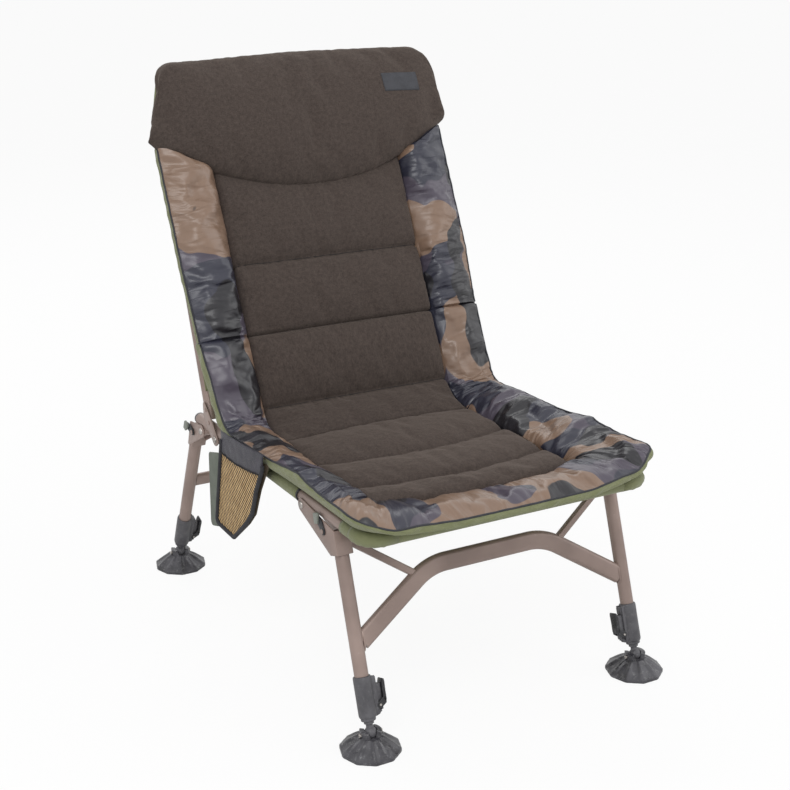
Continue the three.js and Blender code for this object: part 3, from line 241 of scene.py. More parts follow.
def platedSteel():
    finish = Finish("platedSteel", Roughness=0.3, Metallic=1.0)
    cloud = finish.noise(finish.inSpace(), 200, 3)
    finish.feed("Base Color", finish.mottled(cloud, 0.3, 0.7, "8f8a86", "c4bfba"))
    finish.feed("Roughness", cloud.between(0.2, 0.8) * 0.25 + 0.22)
    return finish.material


def camouflage():  # a generic woodland pattern in the photograph's colours
    look = {"base": "4c4652", "slate": "2d2e3b", "tan": "826a59", "dark": "1d1c21", "size": 8.5, "warp": 0.06}
    finish = Finish("camouflageCloth", Roughness=0.36, IOR=1.5, Coat_Weight=0.15, Coat_Roughness=0.2)
    where = finish.onCloth()
    drift = finish.node("ShaderNodeTexNoise", {}, {"Vector": where, "Scale": 13.0, "Detail": 1.5}, 1)
    push = finish.node("ShaderNodeVectorMath", {"operation": "SCALE"}, {0: drift, 3: look["warp"]})
    warped = finish.node("ShaderNodeVectorMath", {"operation": "ADD"}, {0: where, 1: push})

    def blotches(x, y, share, size=1.0):
        spot = finish.node("ShaderNodeMapping", {}, {0: warped, 1: (x, y, 0.0), 3: (size, size * 0.8, size)})
        return finish.noise(spot, look["size"], 0.6).between(share, share + 0.006)

    tone = finish.colours(blotches(3.1, 7.7, 0.5), paint(look["base"]), paint(look["slate"]))
    tone = finish.colours(blotches(6.4, 9.17, 0.512, 1.05), tone, paint(look["tan"]))
    tone = finish.colours(blotches(5.2, 14.9, 0.6, 1.2), tone, paint(look["dark"]))
    faded = finish.noise(where, 30, 3).between(0.45, 0.85) * 0.07
    finish.feed("Base Color", finish.colours(faded, tone, paint("6c6872")))
    finish.feed("Roughness", finish.noise(where, 40, 1).between(0.2, 0.8) * 0.1 + 0.3)

    def valleys(turn, scale, width):  # thin creases, long across the strip
        spot = finish.node("ShaderNodeMapping", {}, {0: where, 2: (0, 0, turn), 3: (0.3, 1, 1)})
        off = finish.noise(spot, scale, 1.2, 0.5) - 0.5
        return (off * off).between(0.0, width)

    still = finish.noise(where, 9, 1).between(0.4, 0.6)
    creases = valleys(0.25, 30, 0.008) * 0.65 + valleys(-0.4, 46, 0.007) * still * 0.45
    soft = finish.noise(where, 28, 1) * 0.4
    finish.bump(creases + soft + finish.fineWeave(where, 2600) * 0.008, 0.45, 0.0035)
    return finish.material


def fleece():
    look = {"deep": "362f2c", "pale": "504641"}
    finish = Finish("brownFleece", Roughness=0.95, Sheen_Weight=0.42, Sheen_Roughness=0.6, IOR=1.3)
    finish.shader.inputs["Sheen Tint"].default_value = paint("94887f")
    where = finish.onCloth()
    tufts = finish.noise(where, 420, 4, 0.7)
    nap = finish.noise(where, 150, 3, 0.6)
    finish.feed("Base Color", finish.mottled(tufts * 0.6 + nap * 0.4, 0.36, 0.62, look["deep"], look["pale"]))
    finish.bump(tufts + nap * 0.8, 0.5, 0.0016)
    return finish.material


def liningCloth():
    look = {"deep": "70744f", "pale": "828660"}
    finish = Finish("oliveLining", Roughness=0.7, IOR=1.45, Sheen_Weight=0.2)
    where = finish.onCloth()
    cloud = finish.noise(where, 22, 4, 0.6)
    weave = finish.fineWeave(where, 2200)
    tone = finish.mottled(cloud, 0.3, 0.7, look["deep"], look["pale"])
    finish.feed("Base Color", finish.colours(weave * 0.18, tone, paint("4c5034")))
    finish.bump(weave * 0.5 + finish.noise(where, 70, 3), 0.4, 0.0012)
    return finish.material


def plainCloth(name, deep, pale, rough, threads):
    finish = Finish(name, Roughness=rough, IOR=1.45)
    where = finish.onCloth()
    cloud = finish.noise(where, 40, 4, 0.6)
    weave = finish.fineWeave(where, threads)
    tone = finish.mottled(cloud, 0.3, 0.7, deep, pale)
    finish.feed("Base Color", finish.colours(weave * 0.2, tone, paint(deep)))
    finish.bump(weave, 0.35, 0.0006)
    return finish.material


def knittedMesh():  # slanting tan cords, with painted shade of the pocket's inside in the holes between them
    look = {"cord": "dcba86", "shade": "bd9a6a", "gap": "251d14", "pitch": 6.6, "turn": 0.98}
    finish = Finish("tanKnittedMesh", Roughness=0.75, IOR=1.45)
    spot = finish.onCloth(look["turn"])
    count = 314.16 / look["pitch"]
    cords, knots = finish.bands(spot, "X", count, 0.6), finish.bands(spot, "Y", count * 0.8, 0.8)
    thread = (cords * 0.8 + knots * 0.35).between(0.42, 0.62)
    tone = finish.mottled(finish.noise(spot, 60, 3), 0.3, 0.7, look["shade"], look["cord"])
    # the gap colour is painted shade: the dim inside of the pocket seen through the net's holes
    finish.feed("Base Color", finish.colours(thread, paint(look["gap"]), tone))
    finish.bump(thread, 0.8, 0.0012)
    return finish.material


finishes = {
    "frame": powderCoat(),
    "plastic": mouldedPlastic("mouldedPlastic", "5e5d61", "444347", 0.48),
    "foot": mouldedPlastic("footPlastic", "535257", "2b2a2f", 0.3, 0.75),
    "greyPlastic": mouldedPlastic("greyPlastic", "8b8f86", "6d716a", 0.5),
    "blackPlastic": mouldedPlastic("blackPlastic", "2c2c30", "1b1b1e", 0.45),
    "steel": platedSteel(),
    "camo": camouflage(),
    "fleece": fleece(),
    "lining": liningCloth(),
    # the dark thread serves the real stitches and also the painted shade in the fleece's channel seams
    "thread": plainCloth("darkThreadAndSeamShade", "1c1917", "2a2623", 0.85, 1500),
    "welt": plainCloth("darkWelt", "202126", "34353c", 0.6, 1500),
    "binding": plainCloth("pocketBinding", "242427", "38383d", 0.8, 1500),
    "net": knittedMesh(),
    "hem": plainCloth("pocketHemCloth", "23222b", "383541", 0.4, 2600),
    "pocketInside": plainCloth("pocketInside", "4c4234", "5d513f", 0.85, 1900),
    "tab": plainCloth("tabCloth", "5f655b", "73786e", 0.75, 1900),
    "patch": plainCloth("darkPatch", "303136", "43444a", 0.6, 2400),
}
print("stage: materials made")


# mesh makers, all in millimetres
def clothMesh(name, points, faces, looks, uv):
    mesh = bpy.data.meshes.new(name)
    mesh.from_pydata([Vector(p) * mm for p in points], [], faces)
    for look in looks:
        mesh.materials.append(finishes[look])
    layer = mesh.uv_layers.new(name="cloth")
    for face in mesh.polygons:
        face.use_smooth = True
        for loop in face.loop_indices:
            spot = uv[mesh.loops[loop].vertex_index]
            layer.data[loop].uv = (spot[0] * mm, spot[1] * mm)
    return mesh


def makePiece(name, body, shape, looks, slots=()):  # shape: points, faces, cloth coordinates if any
    points, faces, *uv = shape
    looks = [looks] if isinstance(looks, str) else looks
    mesh = clothMesh(name, points, faces, looks, uv[0] if uv else [(p[0] + p[1], p[2]) for p in points])
    for face, index in zip(mesh.polygons, slots):
        face.material_index = index
    mesh.validate()
    faceOutward(mesh)
    piece = placed(name, mesh)
    if body:
        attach(piece, body)
    return piece


def faceOutward(mesh):
    edit = bmesh.new()
    edit.from_mesh(mesh)
    bmesh.ops.recalc_face_normals(edit, faces=edit.faces)
    edit.to_mesh(mesh)
    edit.free()


def ring(radius, count, other=None):
    turns = [2 * math.pi * i / count for i in range(count)]
    return [(radius * math.cos(turn), (other or radius) * math.sin(turn)) for turn in turns]


def tubeFaces(rows, count):  # quads between rows of points that close round, and the two ends
    faces = []
    for i in range(rows - 1):
        for j in range(count):
            k = (j + 1) % count
            faces.append((i * count + j, i * count + k, (i + 1) * count + k, (i + 1) * count + j))
    return faces + [tuple(range(count)), tuple(range((rows - 1) * count, rows * count))]


def gridFaces(rows, columns, layer=0):  # the quads of a sheet, with layer those of its other face too
    faces = []
    for j in range(rows):
        for i in range(columns):
            k = j * (columns + 1) + i
            over = k + columns + 1
            faces.append((k, k + 1, over + 1, over))
            if layer:
                faces.append((k + layer, over + layer, over + layer + 1, k + layer + 1))
    return faces


def gridRim(rows, columns):
    wide = columns + 1
    rim = list(range(wide)) + [j * wide + columns for j in range(1, rows + 1)]
    rim += [rows * wide + i for i in range(columns - 1, -1, -1)]
    return rim + [j * wide for j in range(rows - 1, 0, -1)]


def runs(points):  # how far along a path each of its points is
    lengths = [0.0]
    for a, b in zip(points, points[1:]):
        lengths.append(lengths[-1] + math.dist(a, b))
    return lengths


def ovalRing(width, height, count):
    reach = height / 2 - width / 2
    return [(x, y + math.copysign(reach, y)) for x, y in ring(width / 2, count)]


def sweep(stations, outline, first=(0, 0, 1), scales=None):
    stations = [Vector(p) for p in stations]
    side = Vector(first)
    points = []
    for i, spot in enumerate(stations):
        ahead = stations[min(i + 1, len(stations) - 1)] - stations[max(i - 1, 0)]
        ahead.normalize()
        side = (side - ahead * side.dot(ahead)).normalized()
        across = ahead.cross(side)
        size = scales[i] if scales else 1
        points += [spot + across * (x * size) + side * (y * size) for x, y in outline]
    return points, tubeFaces(len(stations), len(outline))


def corner(start, turn, end, radius, steps):  # a path with one rounded corner
    start, turn, end = Vector(start), Vector(turn), Vector(end)
    back, out = (start - turn).normalized(), (end - turn).normalized()
    half = back.angle(out) / 2
    centre = turn + (back + out).normalized() * (radius / math.sin(half))
    first = turn + back * (radius / math.tan(half)) - centre
    last = turn + out * (radius / math.tan(half)) - centre
    axis, angle = first.cross(last).normalized(), first.angle(last)
    arc = [Matrix.Rotation(angle * i / steps, 3, axis) @ first + centre for i in range(steps + 1)]
    return [start, *arc, end]


def lathe(profile, count):
    points, faces, rows = [], [], []
    for radius, height in profile:
        if radius < 1e-6:
            rows.append([len(points)])
            points.append(Vector((0, 0, height)))
        else:
            rows.append(list(range(len(points), len(points) + count)))
            points += [Vector((x, y, height)) for x, y in ring(radius, count)]
    for low, high in zip(rows, rows[1:]):
        for j in range(count):
            k = (j + 1) % count
            quad = [low[j % len(low)], low[k % len(low)], high[k % len(high)], high[j % len(high)]]
            face = tuple(dict.fromkeys(quad))
            if len(face) > 2:
                faces.append(face)
    return points, faces


def slab(outline, low, high, axis, bevel=0.0, steps=2):
    edit = bmesh.new()
    order = {"x": (2, 0, 1), "y": (0, 2, 1), "z": (0, 1, 2)}[axis]
    base = edit.faces.new([edit.verts.new([(a, b, low)[i] for i in order]) for a, b in outline])
    lifted = bmesh.ops.extrude_face_region(edit, geom=[base])["geom"]
    shift = Vector([(0, 0, high - low)[i] for i in order])
    bmesh.ops.translate(edit, vec=shift, verts=[v for v in lifted if isinstance(v, bmesh.types.BMVert)])
    bmesh.ops.recalc_face_normals(edit, faces=edit.faces)
    if bevel:
        sharp = [e for e in edit.edges if e.is_manifold and e.calc_face_angle() > 0.5]
        bmesh.ops.bevel(edit, geom=sharp, offset=bevel, segments=steps, profile=0.5, affect="EDGES")
    points = [v.co.copy() for v in edit.verts]
    edit.verts.index_update()
    faces = [tuple(v.index for v in face.verts) for face in edit.faces]
    edit.free()
    return points, faces


def brick(low, high, bevel=0.0, steps=2):
    outline = [(low[0], low[1]), (high[0], low[1]), (high[0], high[1]), (low[0], high[1])]
    return slab(outline, low[2], high[2], "z", bevel, steps)


def joined(*parts):
    points, faces = [], []
    for somePoints, someFaces in parts:
        start = len(points)
        points += [Vector(p) for p in somePoints]
        faces += [tuple(i + start for i in face) for face in someFaces]
    return points, faces


def moved(shape, matrix):
    return [matrix @ Vector(p) for p in shape[0]], shape[1]


def hull(points):
    points = sorted(set((round(x, 4), round(y, 4)) for x, y in points))

    def turns(a, b, c):
        return (b[0] - a[0]) * (c[1] - a[1]) - (b[1] - a[1]) * (c[0] - a[0])

    def chain(run):
        kept = []
        for p in run:
            while len(kept) > 1 and turns(kept[-2], kept[-1], p) <= 0:
                kept.pop()
            kept.append(p)
        return kept[:-1]

    return chain(points) + chain(reversed(points))


def disc(radius, count, x=0.0, y=0.0):
    return [(x + a, y + b) for a, b in ring(radius, count)]


def rodX(radius, low, high, y, z, count=20, bevel=0.4):
    return slab(disc(radius, count, y, z), low, high, "x", bevel, 1)


def mix(a, b, share):
    return a + (b - a) * share


def clamp(value, low=0.0, high=1.0):
    return max(low, min(high, value))


def hump(value, middle, width):  # 1 at middle, falling off smoothly within width
    return math.exp(-((value - middle) / width) ** 2)


def readShares(pairs, share):
    for (fromShare, start), (toShare, end) in zip(pairs, pairs[1:]):
        if share <= toShare:
            return mix(start, end, clamp((share - fromShare) / (toShare - fromShare)))
    return pairs[-1][1]


def hardPiece(name, body, shape, look, node=None, angle=35):  # a piece with crisp corners
    piece = makePiece(name, body, shape, look)
    piece.data.set_sharp_from_angle(angle=math.radians(angle))
    if node:
        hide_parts(node)


# seat frame
seat = {
    "railX": 252, "railZ": 338, "railRadius": 10, "rearY": 242, "frontY": -367, "corner": 30,
    "frontHalf": 213.7, "rearRailY": 182, "rearRailRadius": 8, "rearRailHalf": 242,
    "pivots": {"front": (-180, 330), "rear": (214, 325), "back": (152, 329)},
    "boltInner": {"front": 236.3, "rear": 236.3, "back": 242.6},
    "lugRadius": 8.5, "lugHalf": 9, "lugRoot": 10.5, "cheekOut": 262.4, "cheekIn": 238.6, "plate": 2.0,
    "cap": [(0, 8.6), (6, 8.3), (9, 6.8), (10, 4.6), (10, 0.3), (8.2, 0.3), (8.2, -12), (0, -12)],
}


def seatRail(name, side):
    x, z = side * seat["railX"], seat["railZ"]
    front = seat["frontY"]
    path = corner((x, seat["rearY"], z), (x, front, z), (x - side * 38, front, z), seat["corner"], 10)
    shape = sweep(path, ring(seat["railRadius"], 36))
    lugs = []
    for y, pivotZ in seat["pivots"].values():
        root = [(y - seat["lugRoot"], z), (y + seat["lugRoot"], z)]
        low, high = x - seat["lugHalf"], x + seat["lugHalf"]
        lugs.append(slab(hull(disc(seat["lugRadius"], 28, y, pivotZ) + root), low, high, "x", 0.5))
    hardPiece(f"seatRail.{name}", "seat_frame", joined(shape, *lugs), "frame", f"seat_rail_{name}")
    turn = Matrix.Translation((x, seat["rearY"], z)) @ Matrix.Rotation(-math.pi / 2, 4, "X")
    cap = moved(lathe(seat["cap"], 36), turn)
    hardPiece(f"railEndCap.{name}", "seat_frame", cap, "plastic", f"rail_end_cap_{name}")


def crossBar(half, y, z, outline):
    return sweep([(-half, y, z), (half, y, z)], outline)


def crossRails():
    front = crossBar(seat["frontHalf"], seat["frontY"], seat["railZ"], ring(seat["railRadius"], 36))
    hardPiece("seatFrontRail", "seat_frame", front, "frame", "seat_front_rail")
    rear = crossBar(seat["rearRailHalf"], seat["rearRailY"], seat["railZ"], ring(seat["rearRailRadius"], 32))
    hardPiece("seatRearRail", "seat_frame", rear, "frame", "seat_rear_rail")


def domeBolt(side, y, z, inner):
    outer = seat["cheekOut"] + seat["plate"] + 0.2
    end = inner - outer - 0.8
    profile = [(0, 3.4), (2.5, 3.1), (4.6, 2.1), (5.9, 0.7), (6, 0), (3, 0), (3, end), (0, end)]
    turn = Matrix.Translation((side * outer, y, z)) @ Matrix.Rotation(side * math.pi / 2, 4, "Y")
    head = moved(lathe(profile, 24), turn)
    nut = slab(disc(5.6, 6, y, z), side * inner, side * (inner - 3.4), "x", 0.4, 1)
    slot = moved(brick((-3.4, -0.6, 2.6), (3.4, 0.6, 3.3)), turn)
    return joined(head, nut, slot)


for name, side in sides.items():
    seatRail(name, side)
    for end, inner in seat["boltInner"].items():
        bolt = domeBolt(side, *seat["pivots"][end], inner)
        hardPiece(f"{end}PivotBolt.{name}", "seat_frame", bolt, "steel", f"{end}_pivot_bolt_{name}")
crossRails()

# back frame
back = {
    "tubeX": 252, "bottomY": 190.4, "bottomZ": 352.5, "topY": 392.6, "topZ": 895, "corner": 40,
    "padY": 112, "padZ": 366, "lean": math.radians(26.2),
}
back["tubeLean"] = math.atan2(back["topY"] - back["bottomY"], back["topZ"] - back["bottomZ"])


def onTube(x, z):
    return Vector((x, back["bottomY"] + (z - back["bottomZ"]) * math.tan(back["tubeLean"]), z))


def onPad(x, s, off):  # the pad plane: x across, s up it, off to its front
    lean = back["lean"]
    y = back["padY"] + s * math.sin(lean) - off * math.cos(lean)
    return Vector((x, y, back["padZ"] + s * math.cos(lean) + off * math.sin(lean)))


def tubeOffset(s):
    away = (back["bottomY"] - back["padY"], back["bottomZ"] - back["padZ"])
    lean = back["lean"]
    bottomS = away[0] * math.sin(lean) + away[1] * math.cos(lean)
    bottomOff = away[1] * math.sin(lean) - away[0] * math.cos(lean)
    return bottomOff + (s - bottomS) * math.tan(lean - back["tubeLean"])


for name, side in sides.items():
    x = side * back["tubeX"]
    turn, inside = onTube(x, back["topZ"]), onTube(x - side * 48, back["topZ"])
    path = corner(onTube(x, back["bottomZ"]), turn, inside, back["corner"], 12)
    tube = sweep(path, ring(10, 36), (1, 0, 0))
    hardPiece(f"backTube.{name}", "back_frame", tube, "frame", f"back_tube_{name}")
    lobes = disc(5, 20, 196, 379) + disc(4, 12, 164, 352) + disc(4, 12, 195, 358)
    strap = hull(disc(11, 32, *seat["pivots"]["back"]) + lobes)
    low, high = side * seat["cheekOut"], side * (seat["cheekOut"] + seat["plate"])
    plate = slab(strap, low, high, "x", 0.5)
    rivets = [rodX(3.6, high, high + side * 1.2, y, z) for y, z in ((178, 352), (190, 372))]
    weld = sweep([onTube(side * 259.5, 358), onTube(side * 259.5, 384)], ring(2.2, 12))
    shape = joined(plate, weld, *rivets)
    hardPiece(f"hingeStrap.{name}", "back_frame", shape, "frame", f"back_hinge_strap_{name}")
topBar = sweep([onTube(-204, back["topZ"]), onTube(204, back["topZ"])], ring(10, 36))
hardPiece("backTopBar", "back_frame", topBar, "frame", "back_top_bar")

# leg frames
legs = {
    "front": {"top": (-274, 321), "foot": (-375, 30)},
    "rear": {"top": (261, 318), "foot": (375, 30)},
    "x": 250, "radius": 11, "ball": 30,
}
for end in ("front", "rear"):
    (topY, topZ), (footY, footZ) = legs[end]["top"], legs[end]["foot"]
    legs[end]["length"] = math.hypot(topY - footY, topZ - footZ)
    legs[end]["splay"] = math.atan2(footY - topY, topZ - footZ)
    turn = Matrix.Rotation(legs[end]["splay"], 4, "X")
    legs[end]["matrix"] = Matrix.Translation((0, topY, topZ)) @ turn


def legEnd(end, side):  # origin at the ball, +Z up the leg, +X to the middle of the chair
    shift = Matrix.Translation((side * legs["x"], 0, -legs[end]["length"]))
    return legs[end]["matrix"] @ shift @ Matrix.Rotation(math.pi if side > 0 else 0, 4, "Z")


def inLeg(end, y, z):
    spot = legs[end]["matrix"].inverted() @ Vector((0, y, z))
    return spot.y, spot.z


bracket = {
    "tall": 37, "reach": 13.4, "lobe": 11, "stud": {"front": (-256, 315), "rear": (249, 313)},
    "latchAngle": {"front": math.radians(43), "rear": math.radians(13)},
    "grip": [(-9.5, 4.5), (-8, 8), (5, 8), (6.5, 4.5), (6.5, -9), (-3, -9.5)],
}


def legBracket(end, name, side):
    lobe = inLeg(end, *seat["pivots"][end])
    reach, tall = bracket["reach"], bracket["tall"]
    if end == "front":
        corners = disc(3, 10, -reach + 3, -0.5) + disc(3, 10, -8.6, -tall + 3) + disc(3, 10, 8.2, -tall + 3)
    else:
        corners = disc(3, 10, -reach + 3, -3) + disc(3, 10, 3, 8)
        corners += disc(3, 10, -1, -tall + 1) + disc(2, 8, -4, -tall + 2)
    outline = hull(disc(bracket["lobe"], 32, *lobe) + corners)
    cheeks = []
    for x in (seat["cheekOut"], seat["cheekIn"] - seat["plate"]):
        cheeks.append(slab(outline, side * x, side * (x + seat["plate"]), "x", 0.5))
    low, high = sorted((side * 237.6, side * 263.4))
    web = brick((low, -reach, -tall), (high, -reach + 2, 0.5), 0.6)
    folds = []
    for x in (side * 238, side * 263):
        folds.append(sweep([(x, -reach + 1.4, -tall + 0.5), (x, -reach + 1.4, 0)], ring(1.5, 12), (1, 0, 0)))
    stud = inLeg(end, *bracket["stud"][end])
    outside = side * (seat["cheekOut"] + seat["plate"])
    pin = rodX(2.6, outside - side, outside + side * 3.4, *stud)
    head = rodX(4.2, outside + side * 3.1, outside + side * 4.3, *stud)
    shape = moved(joined(*cheeks, web, *folds, pin, head), legs[end]["matrix"])
    hardPiece(f"{end}Bracket.{name}", f"{end}_legs", shape, "frame", f"{end}_bracket_{name}")
    lockLatch(end, name, side, stud)


def lockLatch(end, name, side, stud):
    angle = bracket["latchAngle"][end] - legs[end]["splay"]
    tab = (stud[0] + 24 * math.cos(angle), stud[1] + 24 * math.sin(angle))
    middle = (stud[0] + 13 * math.cos(angle + 0.25), stud[1] + 13 * math.sin(angle + 0.25))
    near = side * (seat["cheekOut"] + seat["plate"] + 0.3)
    outline = hull(disc(6, 20, *stud) + disc(6, 20, *tab) + disc(5.6, 16, *middle))
    plate = slab(outline, near, near + side * 2.5, "x", 0.6)
    grip = [(tab[0] + y, tab[1] + z) for y, z in bracket["grip"]]
    thumb = slab(grip, near + side * 2, near + side * 6, "x", 1.2)
    ridges = []
    for shift in (-2.4, 0, 2.4):
        y, z = tab[0] + shift * math.cos(angle), tab[1] + shift * math.sin(angle)
        ridge = brick((0, -0.45, -4.2), (0.7, 0.45, 4.2), 0.2, 1)
        turn = Matrix.Rotation(angle, 4, "X")
        ridges.append(moved(ridge, Matrix.Translation((near + side * 5.6, y, z)) @ turn))
    node = f"{end}_latch_{name}"
    hardPiece(f"{end}Latch.{name}", node, moved(plate, legs[end]["matrix"]), "blackPlastic", node)
    thumbShape = moved(joined(thumb, *ridges), legs[end]["matrix"])
    hardPiece(f"{end}LatchThumb.{name}", node, thumbShape, "greyPlastic")


def legTube(end, name, side):
    x = side * legs["x"]
    path = [(x, 0, -legs[end]["length"] + 48.6), (x, 0, -60), (x, 0, -1), (x, 0, 0)]
    shape = moved(sweep(path, ring(legs["radius"], 40), (0, 1, 0), [1, 1, 1, 0.94]), legs[end]["matrix"])
    hardPiece(f"{end}LegTube.{name}", f"{end}_legs", shape, "frame", f"{end}_leg_tube_{name}")


collar = {
    "profile": [
        (8.1, 18), (10.6, 18), (11.4, 18.8), (11.6, 22), (13.2, 24), (13.9, 27), (13.9, 83), (13.3, 85.4),
        (12.4, 86), (11.35, 86), (11.35, 48.3), (8.1, 48.3), (8.1, 18),
    ],
    "toe": [(12, 22), (19, 24), (24, 31), (24, 34), (12, 34)],
    "clampLow": 30, "clampHigh": 70, "reach": 24, "half": 4.6,
}


def clampCollar(end, name, side):
    shell = lathe(collar["profile"], 48)
    half = collar["half"]
    box = brick((11.6, -half, collar["clampLow"]), (collar["reach"] + 2, half, collar["clampHigh"]), 0.8)
    wings = [brick((11.2, y, 26), (17.5, y + 2.4, 84), 0.7) for y in (-half - 3.2, half + 0.8)]
    toe = slab(collar["toe"], -half, half, "y", 0.6)
    ribs = []
    for z in (27, 32):
        ribs += [brick((17, y, z), (22.5, y + 0.7, z + 2.4), 0.2, 1) for y in (-half - 0.55, half - 0.15)]
    pin = slab(disc(2, 20, 20, 38), -9.4, 9.4, "y", 0.4, 1)
    topStep = brick((11.6, -half - 1, 70.6), (19.5, half + 1, 82), 0.8)
    shape = moved(joined(shell, box, *wings, toe, *ribs, topStep), legEnd(end, side))
    hardPiece(f"{end}Collar.{name}", f"{end}_legs", shape, "plastic", f"{end}_collar_{name}")
    hardPiece(f"{end}LeverPin.{name}", f"{end}_legs", moved(pin, legEnd(end, side)), "steel")


lever = {
    "arm": [
        (26.8, 44), (26.8, 58), (27.6, 70), (29.2, 75), (30.8, 76), (32.4, 75), (32.8, 71), (32.2, 58),
        (32.2, 44), (30.5, 40),
    ],
    "eye": disc(5.2, 28, 20, 38) + [(26.8, 49), (32, 49), (31, 39)],
}


def camLever(end, name, side):
    arm = slab(lever["arm"], -8, 8, "y", 1.0)
    eye = hull(lever["eye"])
    cheeks = [slab(eye, 5.4, 8, "y", 0.5), slab(eye, -8, -5.4, "y", 0.5)]
    ridges = [brick((32, -6, 50 + 4 * k), (33.2, 6, 51.6 + 4 * k), 0.4, 1) for k in range(5)]
    shape = moved(joined(arm, *cheeks, *ridges), legEnd(end, side))
    node = f"{end}_cam_lever_{name}"
    hardPiece(f"{end}CamLever.{name}", node, shape, "blackPlastic", node)


def innerLeg(end, name, side):
    angles = [mix(-1.45, 0.97, k / 16) for k in range(17)]
    ball = [(9.75 * math.cos(a), 9.75 * math.sin(a)) for a in angles]
    neck = [(5.3, 9.5), (5.3, 12), (6.2, 13.4), (7.7, 13.8)]
    profile = [(0, -9.75), *ball, *neck, (7.7, 150), (6.2, 150), (6.2, 18), (0, 18)]
    shape = moved(lathe(profile, 40), legEnd(end, side))
    node = f"{end}_inner_leg_{name}"
    hardPiece(f"{end}InnerLeg.{name}", node, shape, "plastic", node)


foot = {
    "radius": 47.5, "rim": 5.2, "lobes": 10, "hollow": 1.8,
    "hub": 17.0, "hubTop": 34.5, "socket": 10.2, "notch": 24.5,
    "shares": [0, 0.04, 0.12, 0.3, 0.5, 0.68, 0.82, 0.92, 1.0],
    "under": [(1.0, 1.2), (0.985, 0.0), (0.9, 0.0), (0.86, 1.4), (0.4, 1.4), (0.01, 1.4)],
}


def footRim(angle):  # how much of a rib there is, 0 in the hollows, and the disc's radius
    rib = abs(math.cos(foot["lobes"] * angle / 2)) ** 5
    return rib, foot["radius"] - foot["hollow"] * (1 - rib)


def mudFoot(end, name, side):
    count = foot["lobes"] * 12
    hub, top, socket = foot["hub"], foot["hubTop"], foot["socket"]
    profile = [(0.5, 20), (5.5, 21.6), (8.6, 24.5), (socket, 26)]
    profile += [(socket, top + 0.5), (hub - 1, top + 0.5), (hub, top)]
    rows = [[Vector((x, y, z)) for x, y in ring(radius, count)] for radius, z in profile]
    for row in rows[3:]:  # two U-shaped notches in the hub, across the pin
        for spot in row:
            notch = math.exp(-((abs(math.atan2(spot.y, spot.x)) - math.pi / 2) / 0.66) ** 6)
            spot.z = mix(spot.z, min(spot.z, foot["notch"]), notch)
    angles = [2 * math.pi * k / count for k in range(count)]
    for share in foot["shares"]:
        slope = 20 * (1 - share) ** 1.15 + foot["rim"]
        row = []
        for angle in angles:
            rib, edge = footRim(angle)
            radius = mix(hub, edge, share)
            lift = 3.8 * rib * math.sin(math.pi * min(share * 1.05, 1)) ** 0.6 * (1 - 0.4 * share)
            row.append(Vector((radius * math.cos(angle), radius * math.sin(angle), slope + lift)))
        rows.append(row)
    for share, z in foot["under"]:
        radii = [footRim(angle)[1] * share for angle in angles]
        rows.append([Vector((r * math.cos(a), r * math.sin(a), z)) for r, a in zip(radii, angles)])
    shape = [p for row in rows for p in row], tubeFaces(len(rows), count)
    place = Matrix.Translation((side * legs["x"], legs[end]["foot"][0], 0))
    node = f"{end}_foot_{name}"
    hardPiece(f"{end}Foot.{name}", node, moved(shape, place), "foot", node, 50)
    pin = moved(rodX(3, -19.6, 19.6, 0, legs["ball"] - 1), place)
    hardPiece(f"{end}FootPin.{name}", node, pin, "steel")


for end in ("front", "rear"):
    for name, side in sides.items():
        legTube(end, name, side)
        legBracket(end, name, side)
        clampCollar(end, name, side)
        camLever(end, name, side)
        innerLeg(end, name, side)
        mudFoot(end, name, side)

arch = {"drop": 83, "endDrop": 170, "slopeX": 107, "bend": 100, "wide": 15, "tall": 30, "brace": 11}


def archFrame():
    slope = (arch["endDrop"] - arch["drop"]) / (legs["x"] - legs["radius"] - arch["slopeX"])
    endX = legs["x"] - 9
    outer = (-endX, 0, -arch["drop"] - slope * (endX - arch["slopeX"]))
    half = corner(outer, (-arch["slopeX"], 0, -arch["drop"]), (0, 0, -arch["drop"]), arch["bend"], 16)
    path = half + [Vector((-p.x, p.y, p.z)) for p in reversed(half[:-1])]
    bar = sweep(path, [(y, x) for x, y in ovalRing(arch["wide"], arch["tall"], 40)], (0, 1, 0))
    half = arch["brace"] / 2
    cut = half - 1.6
    square = [(half, cut), (cut, half), (-cut, half), (-half, cut)]
    square += [(-x, -y) for x, y in square]
    bead = ring(7.5, 28, 17.2)
    braces, welds = [], []
    for side in sides.values():
        braces.append(sweep([(side * 236.3, 0, -19), (side * 131, 0, -92.5)], square, (0, 1, 0)))
        heelZ = -arch["drop"] - slope * (legs["x"] - 12 - arch["slopeX"])
        heel = Vector((side * (legs["x"] - 10.6), 0, heelZ))
        welds.append(sweep([heel + Vector((0, y, z)) for y, z in bead + bead[:1]], ring(1.6, 8), (1, 0, 0)))
    shape = moved(joined(bar, *braces, *welds), legs["front"]["matrix"])
    hardPiece("frontArch", "front_legs", shape, "frame", "front_arch")
    cross = moved(crossBar(240, 0, -131, ovalRing(12, 26, 36)), legs["rear"]["matrix"])
    hardPiece("rearCrossbar", "rear_legs", cross, "frame", "rear_crossbar")


archFrame()
print("stage: frame and legs made")

